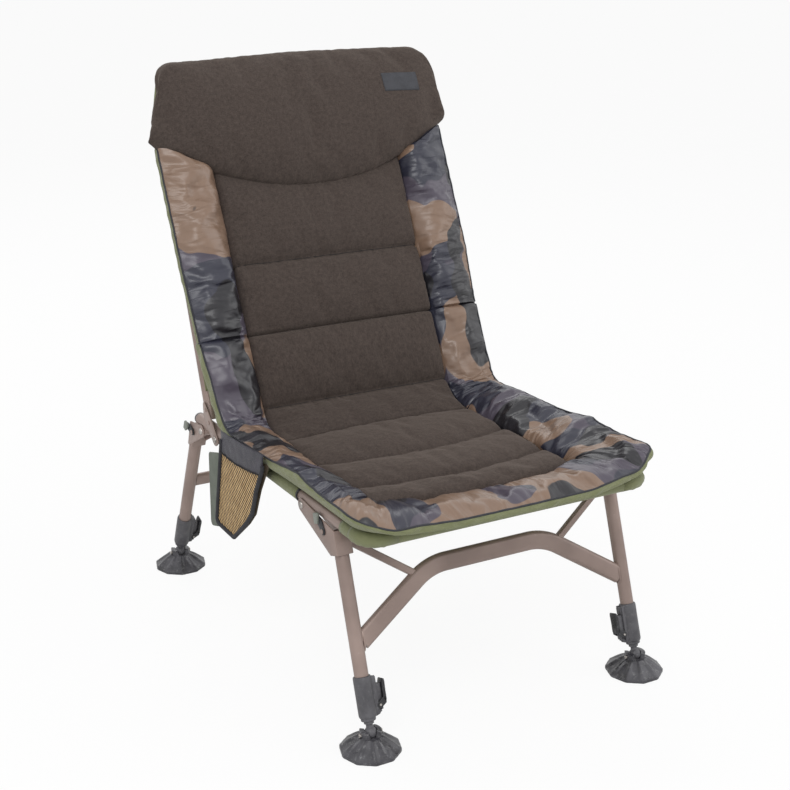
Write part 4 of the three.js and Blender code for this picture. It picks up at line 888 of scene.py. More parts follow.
# soft goods
pads = {
    "half": 282, "seatHalf": 276, "seam": 185, "seamZ": 343, "frontSeamY": -268, "frontY": -406, "rearY": 52,
    "cornerRadius": 58, "sag": 32, "lift": 352, "crown": 14, "gap": 0.6, "underUv": 900, "foldRun": 205,
    "sideBand": [(-52, 16), (60, 16), (195, 17), (218, 10), (252, 7), (406, 7)],
    "frontBand": [(0, 15), (190, 15), (235, 8), (276, 7)],
    "sideEdge": [(0, 354), (0.27, 359), (0.48, 363.5), (0.79, 374), (0.93, 375), (1, 374)],
    "frontEdge": [(0, 345), (0.45, 346), (0.62, 349.7), (0.8, 355.5), (0.92, 363), (1, 364)],
    "bottomS": 146, "channelS": 270, "headMidS": 405, "headRise": 92, "headTop": 642, "headHalf": 286,
}


def inwardAt(x):  # 1 in the middle of the chair, 0 at the long seams and beyond them
    return max(1 - (x / pads["seam"]) ** 2, 0)


def beyondAt(x):  # 0 at the long seams, 1 at the back's outer rim
    return (abs(x) - pads["seam"]) / (pads["half"] - pads["seam"])


def frontSeam(x):  # the seam between the fleece and the front border curves forward in the middle
    return -262 - 34 * inwardAt(x)


def slingZ(x, y):
    level = clamp((y - seat["frontY"]) / (pads["frontSeamY"] - seat["frontY"]))
    return seat["railZ"] - pads["sag"] * level * (1 - (x / 240.8) ** 2)


def borderShare(x, y):
    across = clamp((abs(x) - pads["seam"]) / (pads["seatHalf"] - pads["seam"]))
    seam = frontSeam(x)
    ahead = clamp((seam - y) / (seam - pads["frontY"]))
    return across, ahead, clamp((across ** 4 + ahead ** 4) ** 0.25)


def sideOrFront(x, y, atSide, atFront):  # a value along the rim, blended round the corner
    across, ahead, share = borderShare(x, y)
    return mix(atFront, atSide, across ** 4 / max(across ** 4 + ahead ** 4, 1e-9))


def edgeZ(x, y):
    sideZ = readShares(pads["sideEdge"], clamp((pads["rearY"] - y) / (pads["rearY"] - pads["frontSeamY"])))
    frontZ = readShares(pads["frontEdge"], clamp(abs(x) / pads["seatHalf"]))
    return sideOrFront(x, y, sideZ, frontZ)


def bandAt(x, y):  # how much of the lining shows below the camouflage
    band = sideOrFront(x, y, readShares(pads["sideBand"], -y), readShares(pads["frontBand"], abs(x)))
    sag = 8 * hump(y, -125, 85) if x > 0 else 0
    return max(band - sag, 3)


def padUnder(x, y, share):
    inner = slingZ(min(abs(x), pads["seam"]), y) + pads["gap"]
    if share < 0.6:
        return mix(inner, pads["lift"], (share / 0.6) ** 1.5)
    if share < 0.85:
        return pads["lift"]
    return mix(pads["lift"], edgeZ(x, y), (share - 0.85) / 0.15)


def pillow(share, length, roll=26):  # 0 at a channel's seams, 1 inside it
    near = clamp(min(share, 1 - share) * length / roll)
    return 1 - (1 - near) ** 2.4


def rolled(share):  # a border's section: up steeply at the fleece, flat, then down over its outer side
    rise = 1 - (1 - clamp(share / 0.24)) ** 2.2
    return rise, clamp((share - 0.66) / 0.34) ** 1.35


def centreTop(x, share):
    inward = inwardAt(x)
    return pads["seamZ"] + 6 * inward + 9 * inward ** 0.35 * pillow(share, 90)


softPieces = []
edges = {}  # the points of each pad's outer rim, for the piping
threads = {}  # the points of each sewn channel seam


def quilt(name, across, along, topAt, underAt, uvAt, looks, seams=(), edge=2, bulge=3.0, rim=None):
    across = [i / across for i in range(across + 1)] if isinstance(across, int) else across
    along = [j / along for j in range(along + 1)] if isinstance(along, int) else along
    wide, high = len(across), len(along)
    layer = wide * high
    points, uv = [], []
    for at, shift in ((topAt, 0), (underAt, pads["underUv"])):
        for v in along:
            for u in across:
                points.append(Vector(at(u, v)))
                a, b = uvAt(u, v)
                uv.append((a + shift, b))
    faces = gridFaces(high - 1, wide - 1, layer)
    slots = [0, 1] * (len(faces) // 2)
    border = gridRim(high - 1, wide - 1)
    outer = {j * wide + i for j, v in enumerate(along) for i, u in enumerate(across) if rim and rim(u, v)}
    centre = sum((points[i] for i in border), Vector()) / len(border)
    previous = border
    for step in range(1, edge + 1):
        share = step / edge
        current = [i + layer for i in border]
        if step < edge:
            current = list(range(len(points), len(points) + len(border)))
            for i in border:
                p = points[i].lerp(points[i + layer], share)
                through = (points[i] - points[i + layer]).normalized()
                away = p - centre
                away -= through * away.dot(through)
                points.append(p + away.normalized() * bulge * math.sin(math.pi * share))
                uv.append((uv[i][0] + share * 20, uv[i][1] + share * 20))
        for n, one in enumerate(border):
            m = (n + 1) % len(border)
            two = border[m]
            faces.append((previous[n], previous[m], current[m], current[n]))
            atJoint = one // wide in (0, high - 1) and two // wide == one // wide
            slots.append(1 if one in outer and two in outer else 2 if atJoint and looks[0] == "camo" else 0)
        previous = current
    piece = makePiece(name, None, (points, faces, uv), looks, slots)
    threads[name] = []
    for j, v in enumerate(along):
        if any(abs(v - s) < 1e-6 for s in seams):
            threads[name].append([j * wide + i for i in range(wide)])
    sewn = set(border).union(range(layer, 2 * layer), *threads[name])
    piece.vertex_groups.new(name="sewn").add(sorted(sewn), 1.0, "REPLACE")
    softPieces.append(piece)
    edges[name] = [i for i in border if i in outer]
    if looks[0] == "camo":
        creaseJoints(piece.data, border, outer)
    return piece


def creaseJoints(mesh, border, outer):  # two camouflage pads meet without a groove
    creases = mesh.attributes.new("crease_edge", "FLOAT", "EDGE")
    place = {i: n for n, i in enumerate(border)}
    for index, line in enumerate(mesh.edges):
        one, two = line.vertices
        if one in place and two in place and not (one in outer and two in outer):
            if abs(place[one] - place[two]) in (1, len(border) - 1):
                creases.data[index].value = 1.0
                line.use_edge_sharp = True


def rowsWith(parts):  # shares along a pad with a seam at each join; parts are (share, rows)
    rows, at = [0.0], 0.0
    for share, count in parts:
        rows += [at + share * (k + 1) / count for k in range(count)]
        at += share
    rows[-1] = 1.0
    return rows


def seatCentre():
    edge = pads["seam"] - pads["gap"]

    def spot(u, v):
        x = mix(-edge, edge, u)
        bow, gap = inwardAt(x), pads["gap"]
        seamY = [frontSeam(x) + gap, mix(-182, -222, bow), mix(-66, -104, bow), pads["rearY"] - gap]
        panel = min(int(v * 3 + 1e-6), 2)
        share = v * 3 - panel
        return x, mix(seamY[panel], seamY[panel + 1], share), share

    def top(u, v):
        x, y, share = spot(u, v)
        return x, y, centreTop(x, share)

    def under(u, v):
        x, y, share = spot(u, v)
        return x, y, slingZ(x, y) + pads["gap"]

    def uvAt(u, v):
        x, y, share = spot(u, v)
        return x, y - pads["rearY"]

    rows = rowsWith([(1 / 3, 9), (1 / 3, 11), (1 / 3, 12)])
    return quilt("seatFleece", 36, rows, top, under, uvAt, ["fleece", "lining"], [1 / 3, 2 / 3])


camoPad = ["camo", "lining", "camo"]
border = {"straightY": -225, "frontX": 160, "sideRows": 30, "cornerRows": 28, "frontRows": 34, "wide": 97}


def walk(path, share):
    spans = [math.dist(a, b) for a, b in zip(path, path[1:])]
    left = share * sum(spans)
    for (ax, ay), (bx, by), span in zip(path, path[1:], spans):
        if left <= span:
            return mix(ax, bx, left / span), mix(ay, by, left / span)
        left -= span
    return path[-1]


def borderPath():  # rows of (inner point, outer point, length along the outer edge), left rear to right rear
    half, seam, radius = pads["seatHalf"], pads["seam"], pads["cornerRadius"]
    rear = pads["rearY"] - pads["gap"]
    rows = []
    for k in range(border["sideRows"]):
        y = mix(rear, border["straightY"], k / border["sideRows"])
        rows.append(((-seam, y), (-half, y)))
    centre = (-half + radius, pads["frontY"] + radius)
    bend = [(-half, border["straightY"]), (-half, centre[1])]
    for k in range(1, 13):
        angle = math.pi / 2 * k / 12
        bend.append((centre[0] - radius * math.cos(angle), centre[1] - radius * math.sin(angle)))
    bend.append((-border["frontX"], pads["frontY"]))
    frontX = border["frontX"]
    inside = [(-seam, border["straightY"]), (-seam, frontSeam(seam)), (-frontX, frontSeam(frontX))]

    for k in range(border["cornerRows"]):
        share = k / border["cornerRows"]
        rows.append((walk(inside, share), walk(bend, share)))
    halfRows = border["frontRows"] // 2
    for k in range(halfRows + 1):
        x = mix(-border["frontX"], 0, k / halfRows)
        rows.append(((x, frontSeam(x)), (x, pads["frontY"])))
    rows += [((-a[0], a[1]), (-b[0], b[1])) for a, b in reversed(rows[:-1])]
    return rows, runs([outer for inner, outer in rows])


borderRows, borderLengths = borderPath()


def seatBorder():
    count = len(borderRows) - 1

    def spot(u, v):
        (ax, ay), (bx, by) = borderRows[round(v * count)]
        x, y = mix(ax, bx, u), mix(ay, by, u)
        if x > 0:  # the right corner is drawn in a little further
            drawn = clamp((x - 120) / 120) * clamp((-y - 300) / 90)
            x, y = x - 5 * drawn, y + 16 * drawn * (1 - clamp((x - 262) / 20))
        return x, y, (bx, by)

    def top(u, v):
        x, y, rim = spot(u, v)
        rise, fall = rolled(u)
        high = mix(pads["seamZ"], edgeZ(*rim) + bandAt(*rim), clamp(u / 0.7) ** 0.9)
        atRear = 0.45 * clamp((rim[1] - pads["rearY"] + 80) / 80)
        flatter = max(0.45 * hump(abs(v - 0.5), mitre, 0.007), 0.5 * clamp((80 - rim[1]) / 190), atRear)
        crown = pads["crown"] * rise * (1 - fall) * (1 - flatter)
        high -= 8 * hump(rim[1], -115, 95) * math.sin(math.pi * u)
        if x > 0:  # the right side lies flatter, its corner stands up
            crown *= 1 - 0.55 * hump(y, -210, 80) * clamp((x - 150) / 60)
            crown += 9 * hump(math.hypot(x - 265, y + 355), 0, 45) * u
        return x, y, high + crown

    def under(u, v):
        x, y, rim = spot(u, v)
        return x, y, padUnder(*((x, y) if u < 1 else rim), u)

    def uvAt(u, v):
        return u * border["wide"], borderLengths[round(v * count)]

    mitre = (border["frontRows"] + border["cornerRows"]) / 2 / count
    return quilt("seatBorder", 12, count, top, under, uvAt, camoPad, edge=3, rim=lambda u, v: u == 1)


def backFront(x, share, s):
    across = clamp(beyondAt(x))
    if across > 0:
        rise, fall = rolled(across)
        nearBend = clamp((250 - s) / 95)
        return (22 - 8 * nearBend) * rise - (17 - 5 * nearBend) * fall
    inward = inwardAt(x)
    return 5 * inward + 10 * inward ** 0.35 * pillow(share, 125)


def backRear(x, s):
    off = tubeOffset(s)
    away = abs(x)
    if away < 228:
        return off + 1.6
    if away < 240:
        return off + mix(1.6, 13, (away - 228) / 12)
    if away < 264:
        return off + 13
    return mix(off + 13, -10, (away - 264) / (pads["half"] - 264))


head = {
    "rounding": {"left": 50, "right": 46}, "leftLower": 7, "flare": 9, "pull": 25, "rimStart": 264,
    "rise": 0.16, "fall": 0.12, "crown": 18, "droop": 7, "behind": 13,
}


def headBottom(x):
    return pads["headMidS"] + pads["headRise"] * (x / pads["headHalf"]) ** 2


def stripUv(x, run):  # run: how far above the seat's rear end; one strip goes round the whole mattress
    wide = beyondAt(x) * border["wide"]
    return (wide, -run) if x < 0 else (wide, borderLengths[-1] + run)


def atOuterRim(x0, x1):
    return lambda u, v: abs(mix(x0, x1, u)) > pads["half"] - 1


def backPanel(name, x0, x1, columns, looks, seams, edge):
    glossy = looks[0] == "camo"
    near = 0.1 if glossy else pads["gap"]

    def spot(u, v):
        x = mix(x0, x1, u)
        top = headBottom(x) - pads["gap"]
        if v <= 0.5:
            return x, mix(pads["bottomS"] + near, pads["channelS"], v * 2), v * 2
        return x, mix(pads["channelS"], top, v * 2 - 1), v * 2 - 1

    def narrowed(x, s):  # the mattress is a little narrower towards the seat
        return x - math.copysign(4 * clamp(beyondAt(x)) * (1 - clamp((s - 160) / 120)), x)

    def top(u, v):
        x, s, share = spot(u, v)
        return onPad(narrowed(x, s), s, backFront(x, share, s))

    def under(u, v):
        x, s, share = spot(u, v)
        return onPad(narrowed(x, s), s, backRear(x, s))

    def uvAt(u, v):
        x, s, share = spot(u, v)
        run = s - pads["bottomS"] + pads["foldRun"]
        return stripUv(x, run) if glossy else (x, run)

    bulge = 2.0 if glossy else 3.0
    return quilt(name, columns, 34, top, under, uvAt, looks, seams, edge, bulge, atOuterRim(x0, x1))


def headrest():
    half = pads["headHalf"]

    def topS(x):
        radius = head["rounding"]["left" if x < 0 else "right"]
        into = max(abs(x) - (half - radius), 0)
        lower = head["leftLower"] * clamp(-x / 180)
        return pads["headTop"] - lower - radius + math.sqrt(max(radius ** 2 - into ** 2, 0))

    def drawn(x, v):  # the left end flares at its lower corner and is pulled in at the top
        if x > 0:
            return x - 3 * v * (x / half) ** 6
        pull = head["pull"] * clamp((v - 0.2) / 0.8) ** 1.4 - head["flare"] * clamp(1 - v / 0.3)
        return x + pull * (x / half) ** 6

    columns = [0, 0.006, 0.02, 0.045, 0.075, 0.1]
    columns += [mix(0.1, 0.9, k / 42) for k in range(1, 42)] + [1 - share for share in reversed(columns)]

    def spot(u, v):
        x = mix(-half, half, u)
        return x, mix(headBottom(x) + pads["gap"], topS(x), v)

    def rim(x):
        return clamp((abs(x) - head["rimStart"]) / (half - head["rimStart"]))

    def top(u, v):
        x, s = spot(u, v)
        roll = math.sqrt(clamp(1 - (1 - clamp(v / head["rise"])) ** 2))
        over = math.sqrt(clamp(1 - (1 - clamp((1 - v) / head["fall"])) ** 2))
        crown = head["crown"] * math.sin(math.pi * v) ** 0.7 * (1 - (x / half) ** 4)
        off = mix(26, mix(30, 26, v), rim(x)) + crown
        droop = head["droop"] * (1 - roll) * (1 - (x / half) ** 4)
        return onPad(drawn(x, v), s - droop * 0.4, mix(12, off, roll) - 7 * (1 - over))

    def under(u, v):
        x, s = spot(u, v)
        rear = tubeOffset(s) + head["behind"]
        return onPad(drawn(x, v), s, mix(rear, mix(14, 9, v), rim(x)))

    def uvAt(u, v):
        x, s = spot(u, v)
        return x, s + pads["foldRun"]

    return quilt("headrest", columns, 26, top, under, uvAt, ["fleece", "lining"], edge=3, bulge=4.0)


def foldPanel(name, x0, x1, columns, looks, edge):
    path = [
        Vector((0, pads["rearY"] + 0.4, pads["seamZ"])),
        Vector((0, pads["rearY"] + 28, pads["seamZ"] + 5)),
        Vector((0, pads["rearY"] + 51, pads["seamZ"] + 17)),
        onPad(0, 17, 0),
        onPad(0, 80, 0),
        onPad(0, pads["bottomS"] - 0.4, 0),
    ]
    leans = [0, 0.2, 0.62, 1, 1, 1]

    def bendAt(v):  # a spot on the smooth path and how far it has turned towards the back
        place = clamp(v) * (len(path) - 1)
        i = min(int(place), len(path) - 2)
        t = place - i
        before, after = path[max(i - 1, 0)], path[min(i + 2, len(path) - 1)]
        a, b = path[i], path[i + 1]
        spot = a * (2 * t ** 3 - 3 * t ** 2 + 1) + (b - before) * 0.5 * (t ** 3 - 2 * t ** 2 + t)
        spot += b * (3 * t ** 2 - 2 * t ** 3) + (after - a) * 0.5 * (t ** 3 - t ** 2)
        return spot, mix(leans[i], leans[i + 1], t) * (math.pi / 2 - back["lean"])

    def onFold(x, v, seatOff, backOff, power):
        spot, lean = bendAt(v)
        off = mix(seatOff, backOff, v ** power)
        return Vector((x, spot.y - off * math.sin(lean), spot.z + off * math.cos(lean)))

    seamShare = 0.6

    def puff(v):
        if v < seamShare:
            return pillow(v / seamShare, 72, 24)
        return pillow((v - seamShare) / (1 - seamShare), 128)

    def widthAt(u, v):
        x = mix(x0, x1, u)
        beyond = max(beyondAt(x), 0)
        narrow = mix(pads["half"] - pads["seatHalf"], 4, v) + 6 * math.sin(math.pi * v)
        return x - math.copysign(beyond * narrow, x), beyond

    def top(u, v):
        x, beyond = widthAt(u, v)
        inner = abs(x) <= pads["seam"]
        rim = edgeZ(pads["seatHalf"], pads["rearY"]) + bandAt(pads["seatHalf"], pads["rearY"])
        rise, fall = rolled(beyond)
        outerStart = mix(pads["seamZ"], rim, clamp(beyond / 0.7) ** 0.9)
        outerStart += pads["crown"] * 0.55 * rise * (1 - fall)
        start = (centreTop(x, 0) if inner else outerStart) - pads["seamZ"]
        puffed = 9 * inwardAt(x) ** 0.35 * puff(v) if inner else 0
        return onFold(x, v, start + puffed, backFront(x, 0, pads["bottomS"]) + puffed, 1)

    def under(u, v):
        x, beyond = widthAt(u, v)
        inner = abs(x) <= pads["seam"]
        start = slingZ(x, pads["rearY"]) + pads["gap"] if inner else padUnder(x, pads["rearY"], beyond)
        start -= pads["seamZ"]
        return onFold(x, v, start, backRear(x, pads["bottomS"]), 1.5)

    def uvAt(u, v):
        x = mix(x0, x1, u)
        run = pads["foldRun"] * v
        return stripUv(x, run) if looks[0] == "camo" else (x, run)

    seams = [seamShare] if looks[0] == "fleece" else []
    return quilt(name, columns, 25, top, under, uvAt, looks, seams, edge, rim=atOuterRim(x0, x1))


made = {"seatFleece": seatCentre(), "seatBorder": seatBorder()}
inner = pads["seam"] - pads["gap"]
made["backFleece"] = backPanel("backFleece", -inner, inner, 36, ["fleece", "lining"], [0.5], 2)
made["headrest"] = headrest()
made["foldFleece"] = foldPanel("foldFleece", -inner, inner, 36, ["fleece", "lining"], 2)
for name, side in sides.items():
    ends = sorted((side * pads["seam"], side * pads["half"]))
    made[f"backBorder.{name}"] = backPanel(f"backBorder.{name}", *ends, 12, camoPad, [], 3)
    made[f"foldBorder.{name}"] = foldPanel(f"foldBorder.{name}", *ends, 12, camoPad, 3)

puffing = {
    "frames": 12, "cap": 14.0, "spread": 30,
    "camo": {"stiffness": 0.15, "extra": 0.09, "share": 0.15},
    "fleece": {"stiffness": 2.0, "extra": 0.02, "share": 0.4},
    "cloth": {
        "quality": 6, "mass": 0.25, "air_damping": 2.0, "vertex_group_mass": "sewn",
        "tension_stiffness": 20, "compression_stiffness": 12, "shear_stiffness": 6,
        "use_pressure": True, "uniform_pressure_force": 4.0,
    },
}


def isGlossy(mesh):
    return mesh.materials[0] == finishes["camo"]


def spreadOut(mesh, field, times):
    pairs = numpy.array([tuple(edge.vertices) for edge in mesh.edges])
    near = numpy.bincount(pairs.ravel(), minlength=len(field))
    for step in range(times):
        total = numpy.zeros_like(field)
        numpy.add.at(total, pairs[:, 0], field[pairs[:, 1]])
        numpy.add.at(total, pairs[:, 1], field[pairs[:, 0]])
        field = (field + total / near[:, None]) / 2
    return field


def puffAll():  # inflates every pad at once and keeps the result
    start = {}
    for piece in softPieces:
        start[piece.name] = [v.co.copy() for v in piece.data.vertices]
        modifier = piece.modifiers.new("puff", "CLOTH")
        cloth = modifier.settings
        for setting, value in puffing["cloth"].items():
            setattr(cloth, setting, value)
        kind = puffing["camo" if isGlossy(piece.data) else "fleece"]
        cloth.bending_stiffness = kind["stiffness"]
        cloth.shrink_min = -kind["extra"]
        cloth.effector_weights.gravity = 0
        modifier.collision_settings.use_collision = False
        modifier.point_cache.frame_start = 1
        modifier.point_cache.frame_end = puffing["frames"]
    for step in range(1, puffing["frames"] + 1):
        bpy.context.scene.frame_set(step)
    graph = bpy.context.evaluated_depsgraph_get()
    for piece in softPieces:
        shown = piece.evaluated_get(graph)
        ends = [v.co.copy() for v in shown.data.vertices]
        piece.modifiers.clear()
        share = puffing["camo" if isGlossy(piece.data) else "fleece"]["share"]
        first = numpy.array(start[piece.name])
        shift = numpy.array(ends) - first
        broad = spreadOut(piece.data, shift, puffing["spread"])  # the even swelling, mostly taken off again
        shift -= broad * (1 - share)
        far = numpy.linalg.norm(shift, axis=1, keepdims=True) + 1e-9
        cap = puffing["cap"] * mm
        shift *= cap * numpy.tanh(far / cap) / far
        piece.data.vertices.foreach_set("co", (first + shift).ravel())
        piece.data.update()
    bpy.context.scene.frame_set(1)


puffAll()
print("stage: pads puffed")

wrinkles = {
    "seamPucker": 4.2, "rimPucker": 3.0, "fold": 3.6, "gather": 1.0, "fleece": 0.7, "fleecePucker": 1.6,
    "reach": 500,  # cloth coordinates beyond this belong to a pad's underside
}


def crease(across, along, angle, narrow, long, seed):  # 1 along thin wandering lines, 0 elsewhere
    a = across * math.cos(angle) + along * math.sin(angle)
    b = along * math.cos(angle) - across * math.sin(angle)
    return max(1 - abs(waver(a / long, b / narrow, seed)) * 5, 0) ** 1.3


def waver(*spot):
    return noise.noise(Vector(spot))


def camoWrinkle(across, along):
    share = clamp(across / border["wide"])
    total = borderLengths[-1]
    bend = max(hump(along, -95, 75), hump(along, total + 95, 75))
    corner = hump(min(along, total - along), 413, 95)
    size = 1 + wrinkles["gather"] * bend + 0.5 * corner
    slant = waver(along / 210, 3.3, 1.7) * 0.8
    patch = clamp(0.35 + 1.5 * waver(along / 70, 5.1, 2.9), 0.1, 1)  # puckers come in groups
    nearSeam, nearRim = max(1 - share / 0.5, 0) ** 0.7, max(1 - (1 - share) / 0.45, 0) ** 0.7
    drop = wrinkles["seamPucker"] * crease(across, along, 0.22 + slant, 20, 150, 2.2) * nearSeam * patch
    nearRim *= 1.1 - patch
    drop += wrinkles["rimPucker"] * crease(across, along, -0.3 + slant, 27, 150, 7.9) * nearRim
    one = crease(across, along, 0.55 + slant, 46, 150, 12.4)
    two = crease(across, along, -0.62 + slant, 55, 160, 19.1)
    chosen = clamp(0.5 + 2.2 * waver(along / 120, across / 150, 31))
    drop += wrinkles["fold"] * mix(two, one, chosen) * (0.3 + 0.7 * max(bend, corner))
    held = max(math.sin(math.pi * share), 0) ** 0.4
    return held * (size * (1.0 - drop) + waver(across / 60, along / 42, 44) * 3.4)


def seamDistance(x, run):
    bow = 1 - (x / pads["seam"]) ** 2
    seams = (mix(-234, -274, bow), mix(-118, -156, bow), 123, pads["foldRun"] + 124)
    return min(abs(run - seam) for seam in seams)


def fleeceWrinkle(across, along, seamNear):
    tufts = waver(across / 17, along / 17, 3) + 0.6 * waver(across / 7, along / 7, 8)
    pull = crease(along, across, 0.12, 26, 60, 5.5) * math.exp(-seamNear / 16)
    groove = 3.6 * math.exp(-(seamNear / 3.0) ** 2) + 2.4 * math.exp(-seamNear / 12)
    return wrinkles["fleece"] * tufts - wrinkles["fleecePucker"] * pull - groove


def refine(piece):  # one subdivision, then the fine wrinkles along the surface normals
    smooth = piece.modifiers.new("fine", "SUBSURF")
    smooth.levels = 2
    smooth.render_levels = 2
    graph = bpy.context.evaluated_depsgraph_get()
    mesh = bpy.data.meshes.new_from_object(piece.evaluated_get(graph))
    piece.modifiers.clear()
    name = piece.data.name
    piece.data = mesh
    mesh.name = name + ".fine"
    glossy = isGlossy(mesh)
    layer = mesh.uv_layers["cloth"].data
    spots, normals = {}, {}
    for face in mesh.polygons:
        if face.material_index == 0:
            for loop in face.loop_indices:
                index = mesh.loops[loop].vertex_index
                if index not in spots:
                    spots[index] = layer[loop].uv.copy() / mm
                    normals[index] = Vector()
                normals[index] += face.normal * face.area
    for index, (across, along) in spots.items():
        if across > wrinkles["reach"]:
            continue
        if glossy:
            lift = camoWrinkle(across, along)
        else:
            seamNear = 99 if piece.name == "headrest" else seamDistance(across, along)
            lift = fleeceWrinkle(across, along, seamNear)
        mesh.vertices[index].co += normals[index].normalized() * (lift * mm)
    mesh.update()


def addPiping(piece, chain, radius, look, sink=0.0):  # a cord, part of the pad's own mesh: a sewn welt along the outer rim, and a dark line of painted shade in the fleece's channel seams
    spots = [piece.data.vertices[i].co / mm - piece.data.vertices[i].normal * sink for i in chain]
    gaps = [(spots[i - 1] - spot).length for i, spot in enumerate(spots)]
    start = gaps.index(max(gaps))
    spots = spots[start:] + spots[:start]
    points, faces = sweep(spots, ring(radius, 8))
    edit = bmesh.new()
    edit.from_mesh(piece.data)
    layer = edit.loops.layers.uv["cloth"]
    verts = [edit.verts.new(p * mm) for p in points]
    piece.data.materials.append(finishes[look])
    slot = len(piece.data.materials) - 1
    for face in faces:
        patch = edit.faces.new([verts[i] for i in face])
        patch.material_index = slot
        patch.smooth = True
        for loop, i in zip(patch.loops, face):
            loop[layer].uv = (i // 8 * 0.006, i % 8 * 0.001)
    edit.to_mesh(piece.data)
    edit.free()


for piece in softPieces:
    chain = edges[piece.name]
    refine(piece)
    if chain:
        addPiping(piece, chain, 1.7, "welt")
    # the dark cords in the channel seams are painted shade along the seam valleys
    for row in threads[piece.name]:
        addPiping(piece, row, 1.1, "thread", 0.3)
print("stage: wrinkles and piping made")

bodyOf = {
    "seatFleece": "seat_frame",
    "seatBorder": "seat_frame",
    "backFleece": "back_frame",
    "headrest": "back_frame",
}
stands = {
    "seatFleece": ["seat_pad_centre"],
    "backFleece": ["back_pad_centre"],
    "headrest": ["headrest_pad"],
    "seatBorder": ["seat_border_front", "seat_border_left", "seat_border_right"],
    "foldFleece": ["pad_fold_section"],
}
for name in sides:
    bodyOf[f"backBorder.{name}"] = "back_frame"
    stands[f"backBorder.{name}"] = [f"back_border_{name}"]
foldEnd = onPad(0, pads["bottomS"], 0) * mm
for key, piece in made.items():
    if key in bodyOf:
        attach(piece, bodyOf[key])
    else:
        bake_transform(piece)
    if key in stands:
        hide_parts(*stands[key])
    "fleece" if "leece" in key or key == "headrest" else "camouflage"


# slings
sling = {
    "thick": 1.4, "radius": 11.2, "backReach": 240, "backRows": 60, "hems": (0.03, 0.045, 0.955, 0.97),
    "backAlong": (50, 500), "slack": 2.5, "ripple": 1.1, "seatHalf": 240.5, "seatFront": 11, "seatRear": 125,
    "frontHalf": 213,
    "sleeves": {"rear": (-158, 125), "front": (-337, -302)},
}


def openSheet(name, body, columns, rows, at):
    points, uv = [], []
    for j in range(rows + 1):
        for i in range(columns + 1):
            p, spot = at(i / columns, j / rows)
            points.append(p)
            uv.append(spot)
    piece = placed(name, clothMesh(name, points, gridFaces(rows, columns), ["lining"], uv))
    solid = piece.modifiers.new("thick", "SOLIDIFY")
    solid.thickness = sling["thick"] * mm
    solid.offset = 0
    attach(piece, body)
    return piece


def wrapPath(x, openAngle, closeAngle, steps):  # an arc round a rail
    angles = [math.radians(mix(openAngle, closeAngle, k / steps)) for k in range(steps + 1)]
    return [(x + sling["radius"] * math.cos(angle), sling["radius"] * math.sin(angle)) for angle in angles]


def backSling():
    reach = sling["backReach"]
    arc = wrapPath(back["tubeX"], 55, 180, 10)
    profile = arc + [(mix(reach, -reach, k / 40), 0.0) for k in range(1, 40)]
    profile += [(-x, y) for x, y in reversed(arc)]
    lengths = runs(profile)
    turn = Matrix.Translation(onTube(0, back["bottomZ"])) @ Matrix.Rotation(-back["tubeLean"], 4, "X")

    def at(u, v):
        k = round(u * (len(profile) - 1))
        x, off = profile[k]
        along = mix(*sling["backAlong"], v)
        slack = 1 - min(abs(x) / reach, 1) ** 2
        ripple = sling["ripple"] * waver(x / 130, along / 26, 5)
        dip = (sling["slack"] * math.sin(math.pi * v) + ripple) * slack
        return turn @ Vector((x, -off + dip, along)), (lengths[k], along)

    piece = openSheet("backSling", "back_frame", len(profile) - 1, sling["backRows"], at)
    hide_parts("back_sling")
    behind = turn.to_3x3() @ Vector((0, 0.8, 0))
    lines = []
    for v in sling["hems"]:
        stitches = [at(mix(0.19, 0.81, k / 40), v)[0] + behind for k in range(41)]
        lines.append(sweep(stitches, ring(0.6, 6), (0, 1, 0)))
    makePiece("backSlingStitches", "back_frame", joined(*lines), "thread")


def seatSling():
    def at(u, v):
        x = mix(-sling["seatHalf"], sling["seatHalf"], u)
        y = mix(seat["frontY"] + sling["seatFront"], sling["seatRear"], v)
        return Vector((x, y, slingZ(x, y) - 0.9)), (x, y)

    piece = openSheet("seatSling", "seat_frame", 40, 48, at)
    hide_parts("seat_sling")
    arc = wrapPath(seat["railX"], -75, 195, 20)
    around = sling["radius"] * math.radians(270)
    for name, side in sides.items():
        for part, (y0, y1) in sling["sleeves"].items():
            def onSide(u, v):
                x, z = arc[round(u * (len(arc) - 1))]
                y = mix(y0, y1, v)
                return Vector((side * x, y, seat["railZ"] + z)), (u * 53, y)

            piece, rail = f"seatSleeve.{part}.{name}", f"seatRail.{name}"
            rows, flat = max(int((y1 - y0) / 8), 3), (around * mm, (y1 - y0) * mm)
            openSheet(piece, "seat_frame", len(arc) - 1, rows, onSide)
    frontArc = wrapPath(0, -35, 250, 20)

    def onFront(u, v):
        y, z = frontArc[round(u * (len(frontArc) - 1))]
        x = mix(-sling["frontHalf"], sling["frontHalf"], v)
        return Vector((x, seat["frontY"] + y, seat["railZ"] + z)), (x, u * 56)

    flat = (sling["radius"] * math.radians(285) * mm, 0.432)
    openSheet("seatSleeve.frontRail", "seat_frame", len(frontArc) - 1, 40, onFront)


